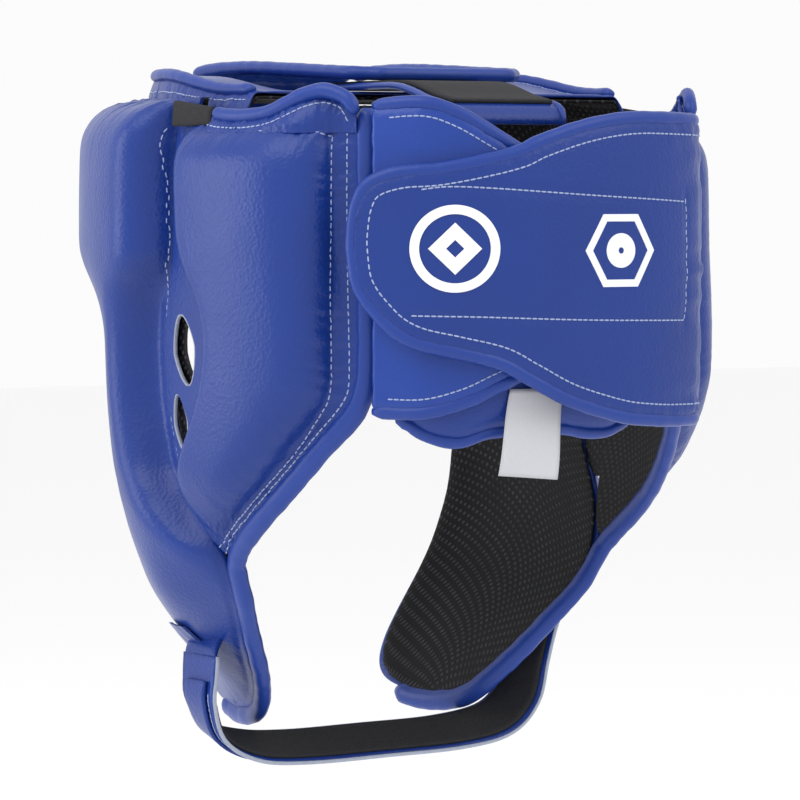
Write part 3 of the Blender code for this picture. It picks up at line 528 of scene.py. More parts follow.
# ------------------------------------------------------------------ pads behind the ears
# A thick block of foam under its own leather cover. Its front edge stands up square over the ear
# panel; behind, the leather is sewn down to a flat border, which gathers it into fine pleats.
REAR_PAD = 20 * MM
REAR_ROWS = np.concatenate([np.linspace(-0.475, 0.90, 34), [0.93]])
REAR_COLUMNS = 20


def rear_pad_spot(u, share, out):
    low = read_table(REAR_PAD_FRONT, share) + SEAM_HALF_ANGLE
    high = read_table(REAR_BORDER, share)
    return on_head(low + (high - low) * u, height(share), out)


def rear_pad_fill(u, share):
    """Height of the rear pad's cover over the lining."""
    turn_run = read_table(REAR_BORDER, share) - read_table(REAR_PAD_FRONT, share)
    border_width = 5.6 / turn_run
    back_slope = shoulder(1 - u - border_width, 0.30 if share > 0 else 0.36)
    front_wall = shoulder(u + 0.015, 0.12)
    top = shoulder(0.915 - share, 0.16)
    bottom = ease(-0.50, -0.20, share)
    swell_out = 0.92 + 0.08 * ease(0.9, 0.35, u)
    return EDGE_HEIGHT + (REAR_PAD - EDGE_HEIGHT) * back_slope * front_wall * top * bottom * swell_out


def rear_grid(face):
    steps = np.concatenate([[0, 0.02, 0.05], np.linspace(0.09, 1, REAR_COLUMNS - 2)])
    return np.array([[face(u, share) for u in steps] for share in REAR_ROWS])


rear_pad = shell("left_rear_pad", rear_grid(lambda u, s: rear_pad_spot(u, s, rear_pad_fill(u, s))),
                 rear_grid(lambda u, s: rear_pad_spot(u, s, LINING + 0.2 * MM)))
swell(rear_pad, sewn_rim(len(REAR_ROWS), REAR_COLUMNS + 1), 1.0, 1.0 * MM)
refine(rear_pad, 2)
PAD_REAR_STITCH = [(134, 97), (134, 70), (134, 40), (134, 10), (133.5, 1), (132, -5), (125, -22),
                   (115, -38), (106, -50), (98, -60)]
PAD_TOP_STITCH = [(94, 106), (104, 103.5), (110, 101), (121, 98.5), (130, 98.5), (134, 96.5)]
BORDER_STITCH = [(137, 105), (137, 73), (137.2, 40), (137.4, 8), (136, -2), (130, -15), (122, -30),
                 (112, -45), (104, -55), (99.6, -62)]
rear_line = side_route(PAD_REAR_STITCH)
top_line = side_route(PAD_TOP_STITCH)
work(rear_pad, [(rear_line, 0.9 * MM, 0.8 * MM, 7 * MM, 5 * MM), (top_line, 0.8 * MM, 0.9 * MM, 7 * MM, 5.5 * MM),
                (side_route(BORDER_STITCH), 0.4 * MM, 0.22 * MM, 3 * MM, 4.4 * MM)])
both_sides(rear_pad, "rear_pad", LEATHER, "blue_leather", ("rear_pad_cover", "rear_pad_foam"))

# ------------------------------------------------------------------ ear panels
# A single leather panel, recessed between the cheek and the rear pad, with two leaf-shaped
# openings whose raw edges are painted pale. Black mesh lies behind it.
EAR_STANDOFF = 4.2 * MM
PANEL_LEATHER = 1.4 * MM
# middle turn, middle height share, half width, half length and lean of each opening
EAR_OPENINGS = ((90.5, 0.140, 8.0 * MM, 14.0 * MM, -14.0), (88.4, -0.095, 5.0 * MM, 11.5 * MM, -16.0))
RAW_EDGE = "#aab0bd"


def ear_spot(u, share, out):
    low = read_table(EAR_SEAM, share) + SEAM_HALF_ANGLE
    high = read_table(REAR_PAD_FRONT, share) - SEAM_HALF_ANGLE
    return on_head(low + (high - low) * u, height(share), out)


def leaf(number, shrink):
    """The outline of an ear opening as (y, z) points round its middle, made smaller by a margin."""
    turn, share, half_width, half_length, lean = EAR_OPENINGS[number]
    middle = on_head(turn, height(share))
    lean = math.radians(lean)
    ring = []
    for k in range(40):
        angle = 2 * math.pi * k / 40
        y = (half_width - shrink) * math.cos(angle) * (1 - 0.25 * abs(math.sin(angle)))
        z = (half_length - shrink) * math.sin(angle)
        ring.append((middle[1] + y * math.cos(lean) + z * math.sin(lean),
                     middle[2] + z * math.cos(lean) - y * math.sin(lean)))
    return middle[0], ring


def cut_openings(piece, shrink):
    """Cuts both ear openings through a panel."""
    for number in range(len(EAR_OPENINGS)):
        depth, ring = leaf(number, shrink)
        count = len(ring)
        mesh = bpy.data.meshes.new("opening")
        points = [(depth + side * 20 * MM, y, z) for side in (-1, 1) for y, z in ring]
        walls = [(k, (k + 1) % count, (k + 1) % count + count, k + count) for k in range(count)]
        mesh.from_pydata(points, [], walls + [tuple(range(count))[::-1], tuple(range(count, 2 * count))])
        cutter = bpy.data.objects.new("opening", mesh)
        bpy.context.scene.collection.objects.link(cutter)
        cut = piece.modifiers.new("opening", "BOOLEAN")
        cut.operation = "DIFFERENCE"
        cut.object = cutter
        made = bpy.data.meshes.new_from_object(piece.evaluated_get(bpy.context.evaluated_depsgraph_get()))
        piece.modifiers.clear()
        piece.data = made
        bpy.data.objects.remove(cutter)
    piece.data.shade_smooth()
    piece.data.set_sharp_from_angle(angle=math.radians(50))


def ring_tube(name, points, half_width, half_height, outward, sides=10):
    """A closed cord of oval section round a ring of points."""
    points = np.array(points)
    along = np.roll(points, -1, 0) - np.roll(points, 1, 0)
    return sweep(name, points, along, outward, half_width, half_height, sides, True)


def sweep(name, points, along, outward, half_width, half_height, sides, closed=False):
    """An oval tube along points; outward gives the direction of its height at each point."""
    along = along / np.linalg.norm(along, axis=1, keepdims=True)
    aside = np.cross(along, outward)
    aside /= np.linalg.norm(aside, axis=1, keepdims=True)
    upright = np.cross(aside, along)
    half_width = np.broadcast_to(half_width, len(points))[:, None, None]
    half_height = np.broadcast_to(half_height, len(points))[:, None, None]
    angle = 2 * np.pi * np.arange(sides) / sides
    section = (half_width * np.cos(angle)[None, :, None] * aside[:, None, :]
               + half_height * np.sin(angle)[None, :, None] * upright[:, None, :])
    spots = (points[:, None, :] + section).reshape(-1, 3)
    count = len(points)
    faces = []
    for i in range(count if closed else count - 1):
        j = (i + 1) % count
        for k in range(sides):
            m = (k + 1) % sides
            faces.append((i * sides + k, i * sides + m, j * sides + m, j * sides + k))
    if not closed:
        faces.append(tuple(range(sides))[::-1])
        faces.append(tuple(range((count - 1) * sides, count * sides)))
    mesh = bpy.data.meshes.new(name)
    mesh.from_pydata(spots.tolist(), [], faces)
    mesh.validate()
    mesh.shade_smooth()
    made = bpy.data.objects.new(name, mesh)
    bpy.context.scene.collection.objects.link(made)
    return made


def plain_cloth(name, colour, roughness, thread, bump):
    """Tightly woven or painted stuff without a visible pattern, broken by a fine uneven grain."""
    made, tree, surface = new_material(name, roughness, Specular_IOR_Level=0.25)
    place = add_node(tree, "ShaderNodeTexCoord").outputs["Object"]
    grain = add_node(tree, "ShaderNodeTexNoise", Vector=place, Scale=1 / thread, Detail=3.0)
    shade = add_node(tree, "ShaderNodeMix", {"data_type": "RGBA"}, _0=grain.outputs["Fac"],
                     _6=linear(colour[0]), _7=linear(colour[1]))
    tree.links.new(shade.outputs[2], surface.inputs["Base Color"])
    raised = add_node(tree, "ShaderNodeBump", Height=grain.outputs["Fac"], Strength=bump, Distance=0.3 * MM)
    tree.links.new(raised.outputs["Normal"], surface.inputs["Normal"])
    return made


EDGE_PAINT = plain_cloth("painted_leather_edge", (RAW_EDGE, "#8a93a8"), 0.5, 1.5 * MM, 0.2)

ear_rows = np.linspace(-0.30, 1.0, 40)
ear_columns = np.linspace(0, 1, 11)
ear_panel = shell("left_ear_leather",
                  np.array([[ear_spot(u, s, EAR_STANDOFF + PANEL_LEATHER) for u in ear_columns] for s in ear_rows]),
                  np.array([[ear_spot(u, s, EAR_STANDOFF) for u in ear_columns] for s in ear_rows]))
cut_openings(ear_panel, 0.0)
both_sides(ear_panel, "ear_leather", LEATHER, "blue_leather", ("ear_panel",))
for opening in range(len(EAR_OPENINGS)):
    depth, ring = leaf(opening, 0.1 * MM)
    face_x = depth + EAR_STANDOFF + PANEL_LEATHER / 2
    lip = ring_tube(f"left_ear_opening_edge_{opening + 1}", [(face_x, y, z) for y, z in ring],
                    PANEL_LEATHER * 0.62, 0.45 * MM, np.array([(0.0, 1.0, 0.0)]))
    both_sides(lip, f"ear_opening_edge_{opening + 1}", EDGE_PAINT, "blue_leather")

# ------------------------------------------------------------------ mesh linings
# Every panel is lined with black spacer mesh over thin foam. Its raised dots catch the light, and
# the foam behind it lets it sink a little along the channels where the panel bends.
DOT_SPACING = 2.9 * MM
MESH_BLACK = "#0b0b0d"
MESH_DOT = "#4a4a52"


def spacer_mesh(name):
    """Warp-knitted polyester spacer mesh: a staggered field of small raised glossy dots."""
    made, tree, surface = new_material(name, 0.6, Specular_IOR_Level=0.2)
    place = add_node(tree, "ShaderNodeUVMap", {"uv_map": "cloth"}).outputs["UV"]
    turned = add_node(tree, "ShaderNodeMapping", Vector=place, Rotation=(0, 0, math.radians(45)))
    cells = add_node(tree, "ShaderNodeTexVoronoi", {"voronoi_dimensions": "2D"}, Vector=turned.outputs["Vector"],
                     Scale=1 / DOT_SPACING, Randomness=0.0)
    dot = add_node(tree, "ShaderNodeMapRange", {"interpolation_type": "SMOOTHSTEP"}, Value=cells.outputs["Distance"],
                   From_Min=0.34, From_Max=0.16)
    patchy = add_node(tree, "ShaderNodeTexNoise", Vector=place, Scale=1 / (14 * MM), Detail=2.0)
    bright = add_node(tree, "ShaderNodeMath", {"operation": "MULTIPLY"}, _0=dot.outputs["Result"],
                      _1=patchy.outputs["Fac"])
    tone = add_node(tree, "ShaderNodeMix", {"data_type": "RGBA"}, _0=bright.outputs[0],
                    _6=linear(MESH_BLACK), _7=linear(MESH_DOT))
    tree.links.new(tone.outputs[2], surface.inputs["Base Color"])
    bump = add_node(tree, "ShaderNodeBump", Height=dot.outputs["Result"], Strength=0.6, Distance=0.5 * MM)
    tree.links.new(bump.outputs["Normal"], surface.inputs["Normal"])
    return made


SPACER_MESH = spacer_mesh("black_spacer_mesh")


def lining(name, place, columns, rows, *nodes, thickness=LINING, low=0.0):
    """One lining, slack over its foam, replacing the CAD lining."""
    def face(out):
        spots = np.array([[place(u, v, out) for u in columns] for v in rows])
        slack = 0.7 * MM * (np.sin(spots[..., 2] / (11 * MM) + 3 * spots[..., 1] / (60 * MM)) - 0.4)
        inward = spots * (1, 1, 0)
        inward /= np.linalg.norm(inward, axis=-1, keepdims=True)
        fade = np.ones(len(rows))
        fade[[0, 1, -2, -1]] = (0, 0.5, 0.5, 0)
        return spots - inward * (np.maximum(slack, 0) * fade[:, None])[..., None]
    made = shell(name, face(low + thickness), face(low))
    refine(made, 1)
    dress(made, SPACER_MESH, "shell", "black_mesh", *nodes)
    return made


even = np.linspace(0, 1, 13)
lining("forehead_mesh", forehead_spot, np.linspace(0, 1, 25), even, "forehead_lining")
cheek_lining = lining("left_cheek_mesh", cheek_spot, even, CHEEK_ROWS[::2], "left_cheek_lining")
rear_lining = lining("left_rear_pad_mesh", rear_pad_spot, even, REAR_ROWS, "left_rear_pad_lining")
ear_lining = shell("left_ear_mesh",
                   np.array([[ear_spot(u, s, EAR_STANDOFF - 1.6 * MM) for u in ear_columns] for s in ear_rows]),
                   np.array([[ear_spot(u, s, EAR_STANDOFF - 1.6 * MM - LINING) for u in ear_columns]
                             for s in ear_rows]))
cut_openings(ear_lining, 3.6 * MM)
dress(ear_lining, SPACER_MESH, "shell", "black_mesh", "left_ear_lining")
for piece, part in ((cheek_lining, "cheek"), (rear_lining, "rear_pad"), (ear_lining, "ear")):
    dress(mirrored(piece, f"right_{part}_mesh"), SPACER_MESH, "shell", "black_mesh", f"right_{part}_lining")

# ------------------------------------------------------------------ bound edges and shell stitching
# The closure edge, the jaw edge and the end of each cheek are bound with a leather strip turned
# over all the layers, and topstitched through in pale blue polyester thread.
BINDING_HALF_WIDTH = 4.3 * MM
BINDING_HALF_HEIGHT = 3.3 * MM
BINDING_OVERHANG = 2.1 * MM
BINDING_BLUE = "#203f92"
BINDING_SHADE = "#1a3684"
STITCH = 2.9 * MM                # from one stitch to the next
STITCH_LENGTH = 2.15 * MM
THREAD = 0.62 * MM
THREAD_COLOUR = "#a9b6d6"

BINDING = coated_leather("turned_leather_binding", BINDING_BLUE, BINDING_SHADE, 0.36, 0.25)
THREAD_FINISH = plain_cloth("polyester_thread", (THREAD_COLOUR, "#8795bd"), 0.55, 0.8 * MM, 0.3)


def radial(points):
    outward = points * (1, 1, 0)
    return outward / np.linalg.norm(outward, axis=1, keepdims=True)


def aside_of(points, outward):
    """The direction across a route, in the surface that outward stands on."""
    along = np.gradient(points, axis=0)
    across = np.cross(along, outward)
    return across / np.linalg.norm(across, axis=1, keepdims=True)


def binding(name, points, shift, half_width, half_height, outward=None):
    """A turned leather edge along a route, moved sideways by a shift and slightly uneven."""
    outward = radial(points) if outward is None else outward
    run = np.arange(len(points)) * np.linalg.norm(points[1] - points[0])
    uneven = 1 + 0.035 * ripple(run, 9 * MM, 0.4)
    moved = points + aside_of(points, outward) * shift
    taper = np.ones(len(points))
    taper[[0, -1]] = 0.45
    taper[[1, -2]] = 0.8
    made = sweep(name, moved, np.gradient(moved, axis=0), outward, half_width * uneven * taper,
                 half_height * uneven * taper, 14)
    return made


def stitches(name, host, lines, pitch=STITCH, length=STITCH_LENGTH, thread=THREAD):
    """Rows of topstitching laid on a piece: each line is (points outside it, directions inwards)."""
    polygons = [tuple(face.vertices) for face in host.data.polygons]
    tree = BVHTree.FromPolygons([tuple(v.co) for v in host.data.vertices], polygons)
    rings = np.array([(-0.5, 0.0), (-0.42, 0.75), (-0.2, 1.0), (0.2, 1.0), (0.42, 0.75), (0.5, 0.0)])
    sides = 6
    spots, faces = [], []
    for points, inward in lines:
        run = np.concatenate([[0], np.linalg.norm(np.diff(points, axis=0), axis=1).cumsum()])
        want = np.arange(pitch / 2, run[-1], pitch)
        middles = np.stack([np.interp(want, run, points[:, k]) for k in range(3)], 1)
        aims = np.stack([np.interp(want, run, inward[:, k]) for k in range(3)], 1)
        landed = [tree.ray_cast(Vector(m), Vector(a), 60 * MM) for m, a in zip(middles, aims)]
        landed = [hit for hit in landed if hit[0] is not None]
        for k in range(len(landed)):
            here, facing = landed[k][0], landed[k][1]
            along = landed[min(k + 1, len(landed) - 1)][0] - landed[max(k - 1, 0)][0]
            along = (along - facing * along.dot(facing)).normalized()
            across = facing.cross(along)
            base = len(spots)
            for at, width in rings:
                for n in range(sides):
                    angle = 2 * math.pi * n / sides
                    lift = 0.12 * MM + thread * (0.32 * width * math.sin(angle) - 0.5 * at * at)
                    sideways = 0.5 * thread * width * math.cos(angle)
                    spots.append(here + facing * lift + along * at * length + across * sideways)
            for r in range(len(rings) - 1):
                for n in range(sides):
                    m = (n + 1) % sides
                    faces.append((base + r * sides + n, base + r * sides + m,
                                  base + (r + 1) * sides + m, base + (r + 1) * sides + n))
    mesh = bpy.data.meshes.new(name)
    mesh.from_pydata(spots, [], faces)
    mesh.validate()
    mesh.shade_smooth()
    made = bpy.data.objects.new(name, mesh)
    bpy.context.scene.collection.objects.link(made)
    return made


def from_side(points, distance=30 * MM):
    """Rays that lay a side seam on a piece from outside."""
    outward = radial(points)
    return points + outward * distance, -outward


rest_height = EDGE_HEIGHT / 2
closure_shares = np.concatenate([np.linspace(0.955, -0.03, 16), np.linspace(-0.07, -0.985, 40)])
edge_spots = [(read_table(REAR_BORDER, s), height(s) / MM) for s in closure_shares]
edge_spots += [(47, -129.2), (43, -129.4), (38, -129.0), (32.5, -127.0)]
edge_route = side_route(edge_spots, 2 * MM, rest_height)
edge_roll = binding("left_edge_binding", edge_route, -BINDING_OVERHANG, BINDING_HALF_WIDTH, BINDING_HALF_HEIGHT)
both_sides(edge_roll, "edge_binding", BINDING, "blue_binding", ("edge_roll",))

shell_rows = {
    "rear_pad_stitching": (rear_pad, [PAD_REAR_STITCH, PAD_TOP_STITCH, BORDER_STITCH]),
    "cheek_stitching": (cheek, [[(86.5, 106), (84.4, 95), (84.3, 75), (84.2, 54), (82.4, 44), (81.0, 32),
                                 (80.6, 18), (81.2, 2), (83.0, -14), (84.6, -25), (87, -33)]]),
}
for name, (host, seams) in shell_rows.items():
    rows_of_thread = stitches("left_" + name, host, [from_side(side_route(points)) for points in seams])
    both_sides(rows_of_thread, name, THREAD_FINISH, "blue_leather")

# ------------------------------------------------------------------ rear closure, under flap
# The left flap of the closure lies over the nape pad. It is two plies of leather, bound round its
# free sides, with a loop patch sewn on its face where the right flap's hook patch grips.
FLAP_LEATHER = 1.3 * MM
PATCH = 1.1 * MM
FLAP_BOUND_WIDTH = 2.7 * MM
FLAP_BOUND_HEIGHT = 2.3 * MM
UNDER_TOP = ((142, 108), (151, 109), (157, 105), (163, 97.5), (168, 91), (175, 86), (184, 83))
UNDER_BOTTOM = ((142, -5), (151, -5), (158, -1), (163, 4), (168, 9), (175, 16), (184, 22))
UNDER_RISE = ((142, 6.3), (144, 6.6), (147, 8.4), (150, 10.4), (153.5, 11.2), (184, 11.2))
# a lighter copy of the leather blue: painted sheen for the flaps that face the lamps
PAINTED_SHEEN_BLUE = "#20429a"
LOOP_BLACK = "#1d1d1f"


def rise_of(table, extra=0.0):
    return lambda turn: read_table(table, turn) * MM + extra


def flap_sheet(name, turns, top, bottom, rise, thickness, rows=22, puff=0.0):
    """A flap between its top and bottom edges, which are (turn, height in mm) tables."""
    def face(out, swollen):
        def spot(turn, v):
            low, high = read_table(bottom, turn) * MM, read_table(top, turn) * MM
            full = puff * shoulder(v, 0.18) * shoulder(1 - v, 0.18) if swollen else 0.0
            return on_head(turn, low + (high - low) * v, rise(turn) + out + full)
        return np.array([[spot(turn, v) for turn in turns] for v in np.linspace(0, 1, rows)])
    return shell(name, face(thickness, True), face(0.0, False))


def even_points(points, pitch):
    """The same run of points again, one every pitch."""
    run = np.concatenate([[0], np.linalg.norm(np.diff(points, axis=0), axis=1).cumsum()])
    want = np.linspace(0, run[-1], max(2, round(run[-1] / pitch) + 1))
    return np.stack([np.interp(want, run, points[:, k]) for k in range(3)], 1)


def flap_line(spots, rise, pitch=2 * MM):
    """A run over a flap through its (turn, height in mm) places."""
    table = [(i, *spot) for i, spot in enumerate(spots)]
    steps = np.linspace(0, len(spots) - 1, 16 * len(spots))
    points = []
    for step in steps:
        turn = read_table(table, step, 1)
        points.append(on_head(turn, read_table(table, step, 2) * MM, rise(turn)))
    return even_points(np.array(points), pitch)


def shifted(points, aside):
    return points + aside_of(points, radial(points)) * aside


# glossy leather: a lower roughness, and a lighter base colour that is painted sheen
GLOSSY_LEATHER_PAINTED_SHEEN = coated_leather("glossy_leather_blue_painted_sheen", PAINTED_SHEEN_BLUE, LEATHER_BLUE, 0.27, 0.22)
LOOP_TAPE = plain_cloth("brushed_loop_tape", (LOOP_BLACK, "#39393c"), 0.9, 0.9 * MM, 0.9)
under_turns = np.linspace(142, 184, 44)
under_flap = flap_sheet("under_flap_leather", under_turns, UNDER_TOP, UNDER_BOTTOM, rise_of(UNDER_RISE),
                        2 * FLAP_LEATHER + 0.3 * MM, puff=0.5 * MM)
refine(under_flap, 1)
under_rim = flap_line(UNDER_TOP + ((185.5, 76), (185.8, 52), (185.5, 29)) + UNDER_BOTTOM[::-1],
                      rise_of(UNDER_RISE, FLAP_LEATHER))
root_fold = side_route([(143, -4), (143, 50), (143, 107)], 2 * MM, 9 * MM)
work(under_flap, [(root_fold, 0.2 * MM, 0.5 * MM, 9 * MM, 12 * MM), (under_rim, 0.5 * MM, 0.25 * MM, 5 * MM, 6 * MM)])
# the under flap's lighter blue is painted sheen
dress(under_flap, GLOSSY_LEATHER_PAINTED_SHEEN, "under_flap", "blue_leather", "under_flap_cover", "under_flap_backing")
under_binding = binding("under_flap_binding", under_rim, 0.3 * MM, FLAP_BOUND_WIDTH, FLAP_BOUND_HEIGHT)
dress(under_binding, BINDING, "under_flap", "blue_binding", "under_flap_edge_roll")
under_thread = stitches("under_flap_stitching", under_flap, [from_side(shifted(under_rim, 5.2 * MM)[3:-3]),
                                                            from_side(shifted(under_rim, -5.2 * MM)[3:-3])])
dress(under_thread, THREAD_FINISH, "under_flap", "blue_leather")
loop_patch = flap_sheet("under_flap_loop_tape", np.linspace(155, 180, 20), ((155, 78), (180, 78)),
                        ((155, 30), (180, 30)), rise_of(UNDER_RISE, 2 * FLAP_LEATHER + 0.9 * MM), PATCH)
dress(loop_patch, LOOP_TAPE, "under_flap", "black_loop_tape", "under_flap_loop_patch")

# ------------------------------------------------------------------ rear closure, over flap
# The right flap wraps across the back and ends in a round tongue near the left closure edge. Its
# hook patch is sewn through from inside, so the square of stitches shows on its face.
OVER_STANDOFF = 17.75
OVER_TOP = ((139.6, 64), (139.8, 68), (140.4, 73), (141.3, 77), (142.8, 79.8), (145, 81.8), (148, 83.2),
            (153, 84), (160, 87), (166, 90.5), (170, 94.5), (178, 100), (187, 103), (198, 103), (219, 102))
OVER_BOTTOM = ((139.6, 52), (139.8, 47), (140.4, 42), (141.3, 38), (142.8, 33.5), (146, 26), (150, 21.2),
               (156, 18), (163, 14), (168, 8), (175, 0), (184, -6), (190, -8), (199, -9), (219, -9))
OVER_RISE = ((139, 17.75), (202, 17.75), (205, 16.4), (209, 12.2), (213, 8.0), (216, 6.6), (219, 6.4))
PRINT_WHITE = "#eef0f4"

over_turns = np.concatenate([np.array([row[0] for row in OVER_TOP[:7]]), np.linspace(150, 219, 62)])
over_flap = flap_sheet("over_flap_leather", over_turns, OVER_TOP, OVER_BOTTOM, rise_of(OVER_RISE),
                       2 * FLAP_LEATHER + 0.3 * MM, rows=34, puff=0.7 * MM)
refine(over_flap, 1)
over_rim = flap_line(OVER_TOP[:0:-1] + ((139.4, 60), (139.4, 56)) + OVER_BOTTOM[1:], rise_of(OVER_RISE, FLAP_LEATHER))
PATCH_SQUARE = [[(198.5, 72.5), (178, 75), (157, 78), (150, 77)], [(199, 74), (199.3, 50), (199, 27)],
                [(199, 28), (178, 29), (160, 30.5), (149, 31)]]
square_lines = [flap_line(line, rise_of(OVER_RISE, 3 * MM)) for line in PATCH_SQUARE]
over_fold = side_route([(203, -7), (204, 20), (204, 70), (203, 101)], 2 * MM, 20 * MM)
root_fold_right = side_route([(214, -7), (214, 50), (214, 101)], 2 * MM, 10 * MM)
over_seams = [(over_fold, 0.3 * MM, 1.1 * MM, 11 * MM, 13 * MM),
              (root_fold_right, 0.2 * MM, 0.9 * MM, 9 * MM, 9 * MM),
              (over_rim, 0.5 * MM, 0.35 * MM, 5 * MM, 6 * MM)]
over_seams += [(line, 0.45 * MM, 0.12 * MM, 4 * MM, 5 * MM) for line in square_lines]
work(over_flap, over_seams)
dress(over_flap, LEATHER, "over_flap", "blue_leather", "over_flap_cover", "over_flap_backing")
over_binding = binding("over_flap_binding", over_rim, 0.3 * MM, FLAP_BOUND_WIDTH, FLAP_BOUND_HEIGHT)
dress(over_binding, BINDING, "over_flap", "blue_binding", "over_flap_edge_roll")
over_inside = shifted(over_rim, -5.4 * MM)[9:-9]
over_thread = stitches("over_flap_stitching", over_flap, [from_side(over_inside)] +
                       [from_side(line) for line in square_lines])
dress(over_thread, THREAD_FINISH, "over_flap", "blue_leather")
root_line = side_route([(217.2, z) for z in (-11, 10, 50, 85, 103)], 2 * MM, 8.2 * MM)
root_roll = binding("over_flap_root_binding", root_line, 0.0, 4.0 * MM, 3.3 * MM)
dress(root_roll, BINDING, "shell", "blue_binding")
HOOK_TAPE = plain_cloth("hook_tape", ("#0b0b0c", "#242427"), 0.75, 0.8 * MM, 0.9)
hook_patch = flap_sheet("over_flap_hook_tape", np.linspace(150, 180, 24), ((150, 77), (180, 77)),
                        ((150, 31), (180, 31)), rise_of(OVER_RISE, -PATCH - 0.2 * MM), PATCH)
dress(hook_patch, HOOK_TAPE, "over_flap", "black_hook_tape", "over_flap_hook_patch")

# ------------------------------------------------------------------ printed emblems
# Two plain white marks are screen printed on the over flap: a ring round a diamond near the tip and
# a hexagon round a dot near the root. They stand for no maker.
INK = 0.25 * MM
MM_PER_DEGREE = 2.27


def printed(name, middle, outline, hole, body, *nodes):
    """A flat printed shape between an outer and an inner outline, given as radii at even angles."""
    count = len(outline)
    spots, faces = [], []
    for out in (0.0, INK):
        for radii in (outline, hole):
            for k in range(count):
                angle = 2 * math.pi * k / count
                turn = middle[0] + radii[k] * math.cos(angle) / MM_PER_DEGREE
                height_here = (middle[1] + radii[k] * math.sin(angle)) * MM
                spots.append(on_head(turn, height_here, (OVER_STANDOFF + 3.75) * MM + out))
    for k in range(count):
        m = (k + 1) % count
        faces += [(k, count + k, count + m, m), (2 * count + k, 2 * count + m, 3 * count + m, 3 * count + k),
                  (k, m, 2 * count + m, 2 * count + k), (count + k, 3 * count + k, 3 * count + m, count + m)]
    mesh = bpy.data.meshes.new(name)
    mesh.from_pydata(spots, [], faces)
    made = bpy.data.objects.new(name, mesh)
    bpy.context.scene.collection.objects.link(made)
    dress(made, PRINT_INK, body, "white_print", *nodes)
    return made


def polygon_radii(sides, radius, turn=0.0, count=96):
    """Radii of a regular polygon at even angles round its middle."""
    wedge = 2 * math.pi / sides
    return [radius * math.cos(wedge / 2) / math.cos((2 * math.pi * k / count + turn) % wedge - wedge / 2)
            for k in range(count)]


PRINT_INK = plain_cloth("printed_white_ink", (PRINT_WHITE, "#e4e7ee"), 0.45, 2 * MM, 0.05)
printed("emblem_tip_ring", (155.5, 55.5), [16.0] * 96, [12.6] * 96, "over_flap", "over_flap_badge_tip")
printed("emblem_tip_diamond", (155.5, 55.5), polygon_radii(4, 9.5), polygon_radii(4, 3.2), "over_flap")
printed("emblem_root_hexagon", (184, 54.5), polygon_radii(6, 15.5), polygon_radii(6, 12.4), "over_flap",
        "over_flap_badge_root")
printed("emblem_root_dot", (184, 54.5), [6.4] * 96, [1.2] * 96, "over_flap")

# ------------------------------------------------------------------ nape pad
# A thin pad inside the closure: leather over foam, with a rolled double edge round its lower side
# and mesh towards the neck. It hangs from the crown strap's root, so it can swing a little.
NAPE_PAD = 9.4 * MM
NAPE_LOW = ((147, -4), (149, -10), (153, -14.5), (158, -16), (164, -12.5), (177, -11.5), (184, -13.5),
            (190, -12.5), (195, -4))


def nape_spot(u, v, out):
    turn = 147.0 + 48.0 * u
    low = read_table(NAPE_LOW, turn) * MM
    return on_head(turn, low + (92 * MM - low) * v, out)


def nape_fill(u, v):
    rise = shoulder(u, 0.13) * shoulder(1 - u, 0.13) * shoulder(v, 0.12) * shoulder(1 - v, 0.12)
    return EDGE_HEIGHT + (NAPE_PAD - EDGE_HEIGHT) * rise


nape = shell("nape_pad_leather", grid(lambda u, v: nape_spot(u, v, nape_fill(u, v)), 26, 26),
             grid(lambda u, v: nape_spot(u, v, LINING + 0.2 * MM), 26, 26))
swell(nape, sewn_rim(27, 27), 0.6, 0.6 * MM)
refine(nape, 1)
nape_rim = flap_line([(147, 30)] + list(NAPE_LOW) + [(195, 30)], lambda turn: 3.0 * MM)
work(nape, [(shifted(nape_rim, 7 * MM), 0.9 * MM, 0.3 * MM, 3 * MM, 6 * MM)])
dress(nape, LEATHER, "nape_pad", "blue_leather", "nape_pad_cover", "nape_pad_foam")
for name, aside, size in (("nape_pad_binding", 0.0, 2.6 * MM), ("nape_pad_second_binding", -3.6 * MM, 2.2 * MM)):
    rolled = binding(name, shifted(nape_rim, aside), 0.0, size, size)
    dress(rolled, BINDING, "nape_pad", "blue_binding")
nape_mesh = shell("nape_pad_mesh", grid(lambda u, v: nape_spot(u, v, LINING), 20, 20),
                  grid(lambda u, v: nape_spot(u, v, 0.0), 20, 20))
dress(nape_mesh, SPACER_MESH, "nape_pad", "black_mesh", "nape_pad_lining")

# ------------------------------------------------------------------ size label
# A white woven satin label, 23 mm by 36 mm, sewn in by its top edge. It is left blank here. Its free
# end stands a little off the pad, and it bends across its width.
LABEL_TOP_EDGE = ((166.0, 3.6), (176.3, 3.6))
LABEL_LOW_EDGE = ((163.2, -28.0), (173.8, -30.0))


def label_spot(u, v, face):
    drop = 1 - v
    top = [LABEL_TOP_EDGE[0][k] + (LABEL_TOP_EDGE[1][k] - LABEL_TOP_EDGE[0][k]) * u for k in (0, 1)]
    low = [LABEL_LOW_EDGE[0][k] + (LABEL_LOW_EDGE[1][k] - LABEL_LOW_EDGE[0][k]) * u for k in (0, 1)]
    turn = top[0] + (low[0] - top[0]) * drop
    out = NAPE_PAD + 1.0 * MM + 6 * MM * ease(0.1, 1.0, drop) - 1.6 * MM * math.sin(math.pi * u) * ease(0.3, 1, drop)
    return on_head(turn, (top[1] + (low[1] - top[1]) * drop) * MM, out + face * 0.35 * MM)


label = shell("size_label_satin", grid(lambda u, v: label_spot(u, v, 1), 12, 18),
              grid(lambda u, v: label_spot(u, v, 0), 12, 18))
SATIN = plain_cloth("white_label_satin", ("#c6c7cb", "#bcbdc2"), 0.42, 0.7 * MM, 0.25)
dress(label, SATIN, "size_label", "white_satin", "size_label")

